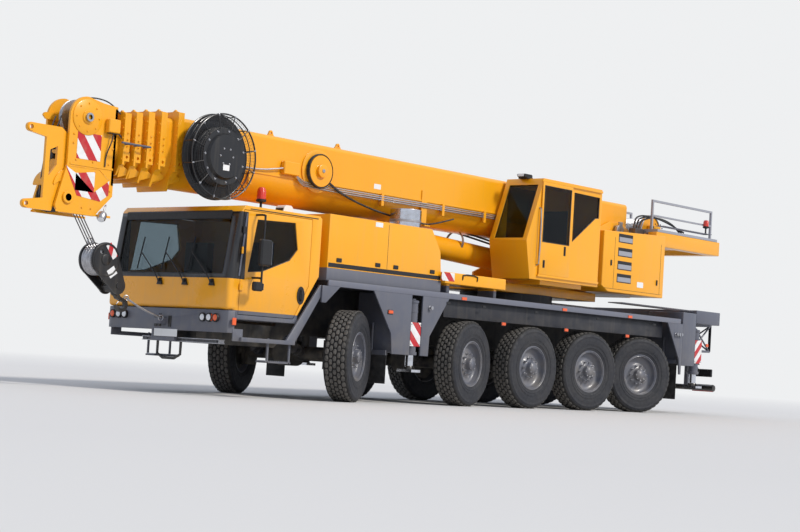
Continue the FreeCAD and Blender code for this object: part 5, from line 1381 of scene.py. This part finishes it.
def make_jack_trim():
    """Collars, caps and hazard plates of the jack tubes, and ribs and clip pin of each foot."""
    for label, (x, side) in JACKS.items():
        y, end = side * JACK_Y, label.split("_")[0]
        tube = Form(grey_paint)
        tube.lathe([(0.091, 0.0), (0.108, 0.004), (0.11, 0.014), (0.11, 0.048), (0.1, 0.056),
                    (0.091, 0.056)], (x, y, 0.762), UP, 36)
        tube.lathe([(0.091, 0.0), (0.104, 0.0), (0.104, 0.028), (0.088, 0.04), (0.05, 0.042),
                    (0.05, 0.062), (0.0, 0.064)], (x, y, 1.575), UP, 36)
        for z in (0.98, 1.42):
            tube.lathe([(0.0915, 0.0), (0.096, 0.003), (0.096, 0.027), (0.0915, 0.03)], (x, y, z),
                       UP, 36)
        tube.paint(side_stripe if end == "front" else rear_stripe)
        low, high = PLATE_HEIGHTS[end]
        tube.box((x - 0.12, x + 0.12), sided(side, 1.357, 1.363), (low, high), 0.002)
        tube.paint(worn_steel)
        for bolt_x in (x - 0.1, x + 0.1):
            for bolt_z in (low + 0.03, high - 0.03):
                tube.lathe([(0.0, 0.01), (0.008, 0.008), (0.011, 0.0)],
                           (bolt_x, side * 1.362, bolt_z), (0, side, 0), 8)
        tube.build(f"jack_tube_trim_{label}", f"outrigger_{label}")
        foot = Form(black_paint)
        foot.lathe([(0.067, 0.0), (0.085, 0.0), (0.082, 0.03), (0.07, 0.055), (0.067, 0.056)],
                   (x, y, 0.54), UP, 32)
        base, top = Vector((x, y, FOOT_TOP)), Vector((x, y, FOOT_TOP + 0.06))
        for away, reach in (((1, 0, 0), 0.095), ((0, 1, 0), 0.135), ((-1, 0, 0), 0.095),
                            ((0, -1, 0), 0.135)):
            away = Vector(away)
            foot.plate([base + away * 0.066, base + away * reach, top + away * 0.072,
                        top + away * 0.066], 0.012)
        foot.paint(worn_steel)
        foot.rod((x - 0.09, y, 0.585), (x + 0.09, y, 0.585), 0.009, 12, 0.002)
        foot.build(f"jack_foot_ribs_{label}", f"jack_{label}")


def make_flaps():
    """Rubber spray flaps behind the first and the last wheels, clamped under steel strips."""
    form = Form(black_rubber)
    for x, low, high in FLAPS:
        for side in (-1, 1):
            inner, outer = side * 0.88, side * 1.3
            across = sorted((inner, outer))
            form.paint(black_rubber)
            form.box((x, x + 0.01), across, (low, high), 0.002)
            for index in range(5):
                y = inner + (outer - inner) * (0.12 + 0.19 * index)
                form.box((x - 0.004, x), (y - 0.006, y + 0.006), (low + 0.06, high - 0.06), 0.001)
            form.paint(grey_paint)
            form.box((x - 0.012, x - 0.001), across, (high - 0.045, high), 0.003)
            form.box((x + 0.011, x + 0.03), across, (high - 0.045, high + 0.03), 0.003)
            form.tube([(x + 0.02, side * 1.0, high), (x + 0.02, side * 1.0, high + 0.45)], 0.018,
                      10)
    form.build("spray_flaps", "carrier")


def brake_cylinder(form):
    """Brake cylinder of two chambers with a clamp ring between them."""
    form.lathe([(0.0, 0.0), (0.055, 0.0), (0.086, 0.02), (0.086, 0.085), (0.094, 0.09),
                (0.094, 0.105), (0.082, 0.11), (0.082, 0.19), (0.05, 0.205), (0.0, 0.21)], ORIGIN,
               UP, 20)


def make_brakes():
    """Brake cylinders beside every axle's end, with their hoses."""
    spots = []
    hoses = Form(black_rubber)
    for _, axle, _ in AXLES:
        for side in (-1, 1):
            spots.append(((axle + 0.17, side * 0.44, 0.7), (0.95, 0, 0.3), LEFT, (1, 1, 1)))
            bends = ((0.3, 0.44, 0.84), (0.26, 0.4, 0.98), (0.1, 0.36, 1.02))
            hoses.tube([(axle + x, side * y, z) for x, y, z in bends], 0.012, 8, 2)
    hoses.build("brake_hoses", "carrier")
    scattered("brake_cylinders", brake_cylinder, spots, dark_paint, "carrier")


def make_deck_grating():
    """Light-grey tread bars on the walked parts of the deck."""
    spots = []
    for start, end in ((-9.55, -7.0), (-3.55, -2.0)):
        for index in range(int((end - start) / DECK_BARS_APART)):
            for side in (-1, 1):
                place = (start + index * DECK_BARS_APART, side * 1.13, 1.955)
                spots.append((place, UP, LEFT, (0.34, 0.01, 0.018)))
    scattered("deck_tread_bars", bar, spots, light_paint, "carrier")


def make_tail():
    """X-braced rear frame, underrun bar, lamp board and tail lamps."""
    form = Form(grey_paint)
    rear, front, low, high, half = TAIL_REAR, -9.72, 1.22, 1.72, 0.021
    for side in (-1, 1):
        y = side * TAIL_HALF
        for x in (rear, front):
            form.box((x - half, x + half), (y - half, y + half), (low, high + 0.02), 0.003)
        for z in (low, high):
            form.box((rear, front), (y - half, y + half), (z - half, z + half), 0.003)
        for start, end in ((low, high), (high, low)):
            form.rod((rear, y, start), (front, y, end), BRACE_RADIUS, 8)
    for z in (low, high):
        form.box((rear - half, rear + half), (-TAIL_HALF, TAIL_HALF), (z - half, z + half), 0.003)
    bay = TAIL_HALF * 2 / 3
    for y in (-TAIL_HALF, -bay / 2, bay / 2):
        for start, end in ((low, high), (high, low)):
            form.rod((rear, y, start), (rear, y + bay, end), BRACE_RADIUS, 8)
        form.box((rear - half, rear + half), (y + bay - half, y + bay + half), (low, high), 0.003)
    form.box((-10.3, -9.66), (-1.16, 1.16), (1.735, 1.95), 0.012)
    for side in (-1, 1):
        form.box((-9.99, -9.66), sided(side, 0.4, 0.46), (0.98, 1.74), 0.006)
        form.box((rear, -9.9), sided(side, 0.66, 0.74), (0.98, 1.06), 0.006)
        form.box((-10.33, -10.25), sided(side, 0.66, 0.74), (UNDERRUN_Z, 1.06), 0.006)
    form.box((-10.06, -9.96), (-1.12, 1.12), (0.96, 1.1), 0.008)
    form.build("rear_lattice", "carrier")
    guard = Form(black_paint)
    guard.rod((UNDERRUN_X, -UNDERRUN_HALF, UNDERRUN_Z), (UNDERRUN_X, UNDERRUN_HALF, UNDERRUN_Z),
              0.052, 28, 0.008)
    for side in (-1, 1):
        guard.lathe([(0.052, 0.0), (0.06, 0.004), (0.06, 0.016), (0.0, 0.02)],
                    (UNDERRUN_X, side * (UNDERRUN_HALF - 0.005), UNDERRUN_Z), (0, side, 0), 28)
    guard.paint(rear_stripe)
    for side in (-1, 1):
        guard.box((-10.352, -10.346), sided(side, 0.8, 1.28), (0.445, 0.585), 0.002)
    guard.build("underrun_bar", "carrier")
    lamps = Form(black_plastic)
    for side in (-1, 1):
        lamps.paint(black_plastic)
        lamps.box((-10.35, -10.3), sided(side, 0.72, 1.24), (0.73, 0.88), 0.01)
        lamps.tube([(-10.3, side * 0.98, 0.8), (-10.1, side * 0.98, 1.0)], 0.018, 8)
        for index, finish in enumerate((orange_lens, red_lens, red_lens, clear_lens)):
            lamps.paint(finish)
            lamps.lathe([(0.05, 0.0), (0.05, 0.01), (0.038, 0.018), (0.0, 0.022)],
                        (-10.349, side * (1.175 - index * 0.125), 0.805), (-1, 0, 0), 28)
        lamps.paint(orange_lens)
        lamps.box((-9.98, -9.9), sided(side, 1.322, 1.345), (1.3, 1.36), 0.006)
    lamps.build("tail_lamps", "carrier")


def make_box_trim():
    """Handle, latches and warning plate on the storage boxes."""
    form = Form(black_plastic)
    front, rear = -2.41, -2.78
    form.tube([(front, 1.37, 2.01), (front, 1.385, 2.03), (front, 1.385, 2.1), (rear, 1.385, 2.1),
               (rear, 1.385, 2.03), (rear, 1.37, 2.01)], 0.011, 10, 1)
    for x in (-2.1, -3.0, -4.4, -6.2, -8.0):
        form.box((x - 0.045, x + 0.045), (1.372, 1.386), (1.6, 1.64), 0.005)
    form.paint(side_stripe)
    form.box((-2.21, -1.895), (WALK_BOX_SIDE - 0.004, WALK_BOX_SIDE + 0.003), (1.968, 2.102), 0.001)
    form.build("box_handles", "carrier")


# Superstructure
SLEW_X, SLEW_BOLT_CIRCLE = -5.3, 0.775
BOOM_PIVOT, LIFT_FOOT, LIFT_EYE, PIN_END = (-7.9, 3.35), (-6.0, 2.48), (-3.249, 2.803), 0.555
DRUM, ROPE_TURNS, ROPE_RADIUS = Vector((-9.15, 0, 3.45)), 24, 0.014
HOUSING_SIDE, STEPS_Z, VALVES_X = 1.2985, (3.05, 2.8, 2.56, 2.33), (-8.27, -8.18, -8.09)
TAIL_BEACON = (-10.22, 1.0, 3.5)


def make_operator_cab_trim():
    """Seals, handles, blank plate and work lamp of the operator's cab."""
    for side, towards in (("side", LEFT), ("inner", (0, -1, 0)), ("rear", (-1, 0, 0))):
        seal_panes(f"operator_cab_seal_{side}", "operator_cab_glass", towards)
    seal_panes("operator_door_seal", "operator_door_glass", LEFT)
    form = Form(black_plastic)
    for x, low, high in ((-5.18, 2.64, 2.8), (-4.6, 2.39, 2.52)):
        form.box((x - 0.028, x + 0.028), (1.318, 1.328), (low, high), 0.003)
        form.box((x - 0.012, x + 0.018), (1.326, 1.338), (low + 0.02, high - 0.02), 0.004)
    form.build("operator_door_handle", "operator_door")
    trim = Form(worn_steel)
    grip = ((1.288, 3.4), (1.345, 3.37), (1.345, 2.45), (1.288, 2.42))
    trim.tube([(-4.44, y, z) for y, z in grip], 0.013, 10, 1)
    trim.paint(white_paint)
    trim.box((-4.262, -4.256), (0.86, 1.12), (2.56, 2.73), 0.001)
    trim.paint(black_plastic)
    trim.box((-4.62, -4.46), (0.78, 0.98), (3.905, 3.935), 0.006)
    outline = arced([(-4.6, 3.93), (-4.42, 3.93), (-4.4, 3.96, 0.02), (-4.42, 3.985),
                     (-4.6, 3.985, 0.02)])
    slab(trim, [outline], "y", 0.8, 0.96)
    trim.paint(clear_lens)
    trim.box((-4.402, -4.392), (0.815, 0.945), (3.938, 3.978), 0.003)
    trim.build("operator_cab_handles_and_lamp", "superstructure")


def make_slew_ring():
    """Bolts round the slewing ring."""
    spots = [((SLEW_X + out.x * SLEW_BOLT_CIRCLE, out.z * SLEW_BOLT_CIRCLE, 2.108), UP, AHEAD,
              (0.032, 0.032, 0.026)) for out in around(60)]
    scattered("slew_ring_bolts", stud, spots, dark_steel, "superstructure")


def make_pivots():
    """Capped, bolted pins of the boom and the lift ram, and the ram's bands and hoses."""
    form = Form(worn_steel)
    for side in (-1, 1):
        for (x, z), radius in ((BOOM_PIVOT, 0.115), (LIFT_FOOT, 0.095)):
            form.lathe([(radius, -0.02), (radius, 0.03), (radius - 0.008, 0.038),
                        (radius * 0.45, 0.038), (radius * 0.4, 0.03), (0.0, 0.03)],
                       (x, side * PIN_END, z), (0, side, 0), 36)
            keeper = (z + radius - 0.02, z + radius + 0.05)
            form.box((x - 0.05, x + 0.05), sided(side, PIN_END, PIN_END + 0.045), keeper, 0.004)
            for shift in (-0.03, 0.03):
                form.lathe([(0.0, 0.016), (0.008, 0.015), (0.013, 0.008), (0.013, 0.0)],
                           (x + shift, side * (PIN_END + 0.045), z + radius + 0.025), (0, side, 0),
                           6)
    form.build("pivot_pin_caps", "superstructure")
    start, end = (Vector((x, 0, z)) for x, z in (LIFT_FOOT, LIFT_EYE))
    along = (end - start).normalized()
    ram = Form(worn_steel)
    for reach in (2.2, 0.55):
        ram.lathe([(0.189, 0.0), (0.201, 0.004), (0.201, 0.046), (0.189, 0.05)],
                  start + along * reach, along, 48)
    ram.paint(black_rubber)
    for y in (-0.1, 0.1):
        bends = ((0.6, 0.205), (1.2, 0.212), (2.1, 0.207))
        ram.tube([start + along * reach + Vector((0, y, rise)) for reach, rise in bends], 0.017, 10,
                 2)
    ram.build("lift_ram_bands_and_hoses", "lift_barrel")


def make_winch_rope():
    """Rope wound on the drum, rolled flange edges and the flanges' bolts."""
    form = Form(worn_steel)
    radius, half, steps = 0.262, 0.4, 20
    turns = ((math.tau * index / steps, index / (ROPE_TURNS * steps))
             for index in range(ROPE_TURNS * steps + 1))
    form.tube([DRUM + Vector((radius * math.cos(turn), -half + 2 * half * share,
                              radius * math.sin(turn))) for turn, share in turns], ROPE_RADIUS, 5)
    for side in (-1, 1):
        form.ring(DRUM + Vector((0, side * 0.43, 0)), LEFT, 0.322, 0.012, 48, 8)
    form.build("winch_rope_layers", "winch_drum")
    spots = [(DRUM + Vector((0, side * 0.585, 0)) + out * 0.17, (0, side, 0), AHEAD,
              (0.026, 0.026, 0.018)) for out in around(12) for side in (-1, 1)]
    scattered("winch_flange_bolts", stud, spots, dark_steel, "winch_drum")


def make_housing_trim():
    """Seams, latches, blank label and steps of the machinery housing, each step on a black sheet of
    painted shade that stands in for its recess.
    """
    form = Form(black_plastic)
    for side in (-1, 1):
        levels = sided(side, HOUSING_SIDE, HOUSING_SIDE + 0.004)
        for x in (-6.72, -8.22):
            form.box((x - 0.003, x + 0.003), levels, (2.2, 3.12), 0.001)
        form.box((-8.28, -6.45), levels, (2.187, 2.193), 0.001)
        for x, z in ((-6.62, 2.65), (-8.12, 2.4)):
            form.box((x - 0.02, x + 0.02), sided(side, 1.299, 1.315), (z - 0.05, z + 0.05), 0.006)
    form.paint(white_paint)
    form.box((-7.68, -7.48), (HOUSING_SIDE, HOUSING_SIDE + 0.004), (2.27, 2.37), 0.001)
    form.build("housing_seams_and_latches", "superstructure")
    steps = Form(black_plastic)
    for side in (-1, 1):
        for z in STEPS_Z:
            # flat black sheet behind each tread: painted shade where the step's recess would be
            # dark
            steps.paint(black_plastic)
            steps.box((-7.275, -6.825), sided(side, 1.298, 1.3015), (z - 0.015, z + 0.145), 0.001)
            steps.paint(light_paint)
            steps.box((-7.26, -6.84), sided(side, 1.29, 1.309), (z, z + 0.085), 0.004)
    steps.build("housing_steps", "superstructure")


def make_tail_gear():
    """Hoses, valve block and beacon on the tail, and tread bars on the walkway planks."""
    form = Form(dark_steel)
    form.box((-8.33, -8.03), (0.68, 0.84), (3.26, 3.42), 0.01)
    for x in VALVES_X:
        form.rod((x, 0.76, 3.42), (x, 0.76, 3.5), 0.022, 12, 0.003)
    form.paint(black_rubber)
    for index, x in enumerate(VALVES_X):
        form.tube([(x, 0.76, 3.48), (x - 0.04, 0.77, 3.6 + 0.03 * index), (x - 0.5, 0.78, 3.7),
                   (x - 1.05, 0.78, 3.64), (-9.62, 0.78 + 0.05 * index, 3.48)], 0.016, 8, 2)
    form.paint(black_plastic)
    form.lathe([(0.0, 0.0), (0.045, 0.0), (0.045, 0.02), (0.016, 0.03), (0.016, 0.12),
                (0.06, 0.135), (0.06, 0.165), (0.0, 0.165)], TAIL_BEACON, UP, 24)
    form.paint(red_beacon)
    form.lathe([(0.054, 0.165), (0.054, 0.245), (0.044, 0.28), (0.0, 0.295)], TAIL_BEACON, UP, 28)
    form.build("tail_hoses_and_beacon", "superstructure")
    spots = [((-8.62 - index * 0.055, side * 0.98, 3.508), UP, LEFT, (0.2, 0.009, 0.01))
             for index in range(32) for side in (-1, 1)]
    scattered("walkway_tread_bars", bar, spots, light_paint, "superstructure")


for make in (
    make_wheels, roll_sheet_edges, make_windscreen_trim, make_doors_trim, make_roof_fittings,
    make_front, make_mouths, make_head, make_head_fittings, make_hook_block, make_reel,
    make_boom_fittings, make_sling, make_hood_trim, make_exhaust_trim, make_side_markers,
    make_jack_trim, make_flaps, make_brakes, make_deck_grating, make_tail, make_box_trim,
    make_operator_cab_trim, make_slew_ring, make_pivots, make_winch_rope, make_housing_trim,
    make_tail_gear,
):
    make()


# Camera, floor and light
CAMERA_PLACE, CAMERA_LENS, FRAME_WIDTH = Vector((18.451 + FIRST_AXLE, 18.655, 0.629)), 76.43, 36.0
CAMERA_TURN, CAMERA_TILT, CAMERA_ROLL = 0.729, 0.057, 0.062
BACKDROP, FLOOR_RADIUS = (0.86, 0.87, 0.88, 1.0), 160.0
SUN_FROM = Vector((-0.22, 0.72, 0.62))


def aim_camera():
    """The photograph's own viewpoint, solved from the crane's known sizes."""
    level_way = Vector((math.cos(CAMERA_TURN), math.sin(CAMERA_TURN), 0))
    ahead = Vector(UP) * math.sin(CAMERA_TILT) - level_way * math.cos(CAMERA_TILT)
    level = ahead.cross(Vector(UP)).normalized()
    up = level.cross(ahead)
    right = math.cos(CAMERA_ROLL) * level + math.sin(CAMERA_ROLL) * up
    above = -math.sin(CAMERA_ROLL) * level + math.cos(CAMERA_ROLL) * up
    camera = bpy.data.cameras.new("photo_camera")
    camera.lens, camera.sensor_width = CAMERA_LENS, FRAME_WIDTH
    camera.clip_start, camera.clip_end = 0.1, 500.0
    holder = bpy.data.objects.new("photo_camera", camera)
    axes = Matrix((right, above, -ahead)).transposed().to_4x4()
    holder.matrix_world = Matrix.Translation(CAMERA_PLACE) @ axes
    bpy.context.scene.collection.objects.link(holder)
    bpy.context.scene.camera = holder


def lay_floor():
    """Pale round floor that fades into the backdrop's colour with distance."""
    mesh = bpy.data.meshes.new("pale_floor")
    shape = bmesh.new()
    bmesh.ops.create_circle(shape, cap_ends=True, segments=96, radius=FLOOR_RADIUS)
    shape.to_mesh(mesh)
    shape.free()
    floor = bpy.data.objects.new("pale_floor", mesh)
    bpy.context.scene.collection.objects.link(floor)
    recipe = Recipe("pale_floor")
    recipe.set(Base_Color=(0.62, 0.61, 0.6, 1.0), Roughness=0.95)
    far = recipe.add("ShaderNodeVectorMath", "LENGTH", _0=recipe.place)
    fade = recipe.band(far.outputs["Value"], 16.0, 60.0)
    glow = recipe.add("ShaderNodeEmission", Color=BACKDROP, Strength=1.0)
    blend = recipe.add("ShaderNodeMixShader", _0=fade, _1=recipe.shader.outputs[0],
                       _2=glow.outputs[0])
    recipe.tree.links.new(blend.outputs[0], recipe.tree.nodes["Material Output"].inputs["Surface"])
    mesh.materials.append(recipe.material)


def light_scene():
    world = bpy.data.worlds.new("studio")
    world.use_nodes = True
    tree = world.node_tree
    soft = tree.nodes["Background"]
    soft.inputs["Color"].default_value = (0.8, 0.87, 1.0, 1.0)
    soft.inputs["Strength"].default_value = 0.75
    shown = add_node(tree, "ShaderNodeBackground", Color=BACKDROP)
    path = tree.nodes.new("ShaderNodeLightPath").outputs
    either = add_node(tree, "ShaderNodeMath", "MAXIMUM", _0=path["Is Camera Ray"],
                      _1=path["Is Transmission Ray"])
    blend = add_node(tree, "ShaderNodeMixShader", _0=either.outputs[0], _1=soft.outputs[0],
                     _2=shown.outputs[0])
    tree.links.new(blend.outputs[0], tree.nodes["World Output"].inputs["Surface"])
    bpy.context.scene.world = world
    lamp = bpy.data.lights.new("soft_key", "SUN")
    lamp.energy, lamp.angle = 2.6, math.radians(9)
    lamp.color = (1.0, 0.95, 0.88)
    holder = bpy.data.objects.new("soft_key", lamp)
    holder.rotation_mode = "QUATERNION"
    holder.rotation_quaternion = SUN_FROM.to_track_quat("Z", "Y")
    bpy.context.scene.collection.objects.link(holder)


aim_camera()
lay_floor()
light_scene()
bpy.context.scene.view_settings.view_transform = "Standard"
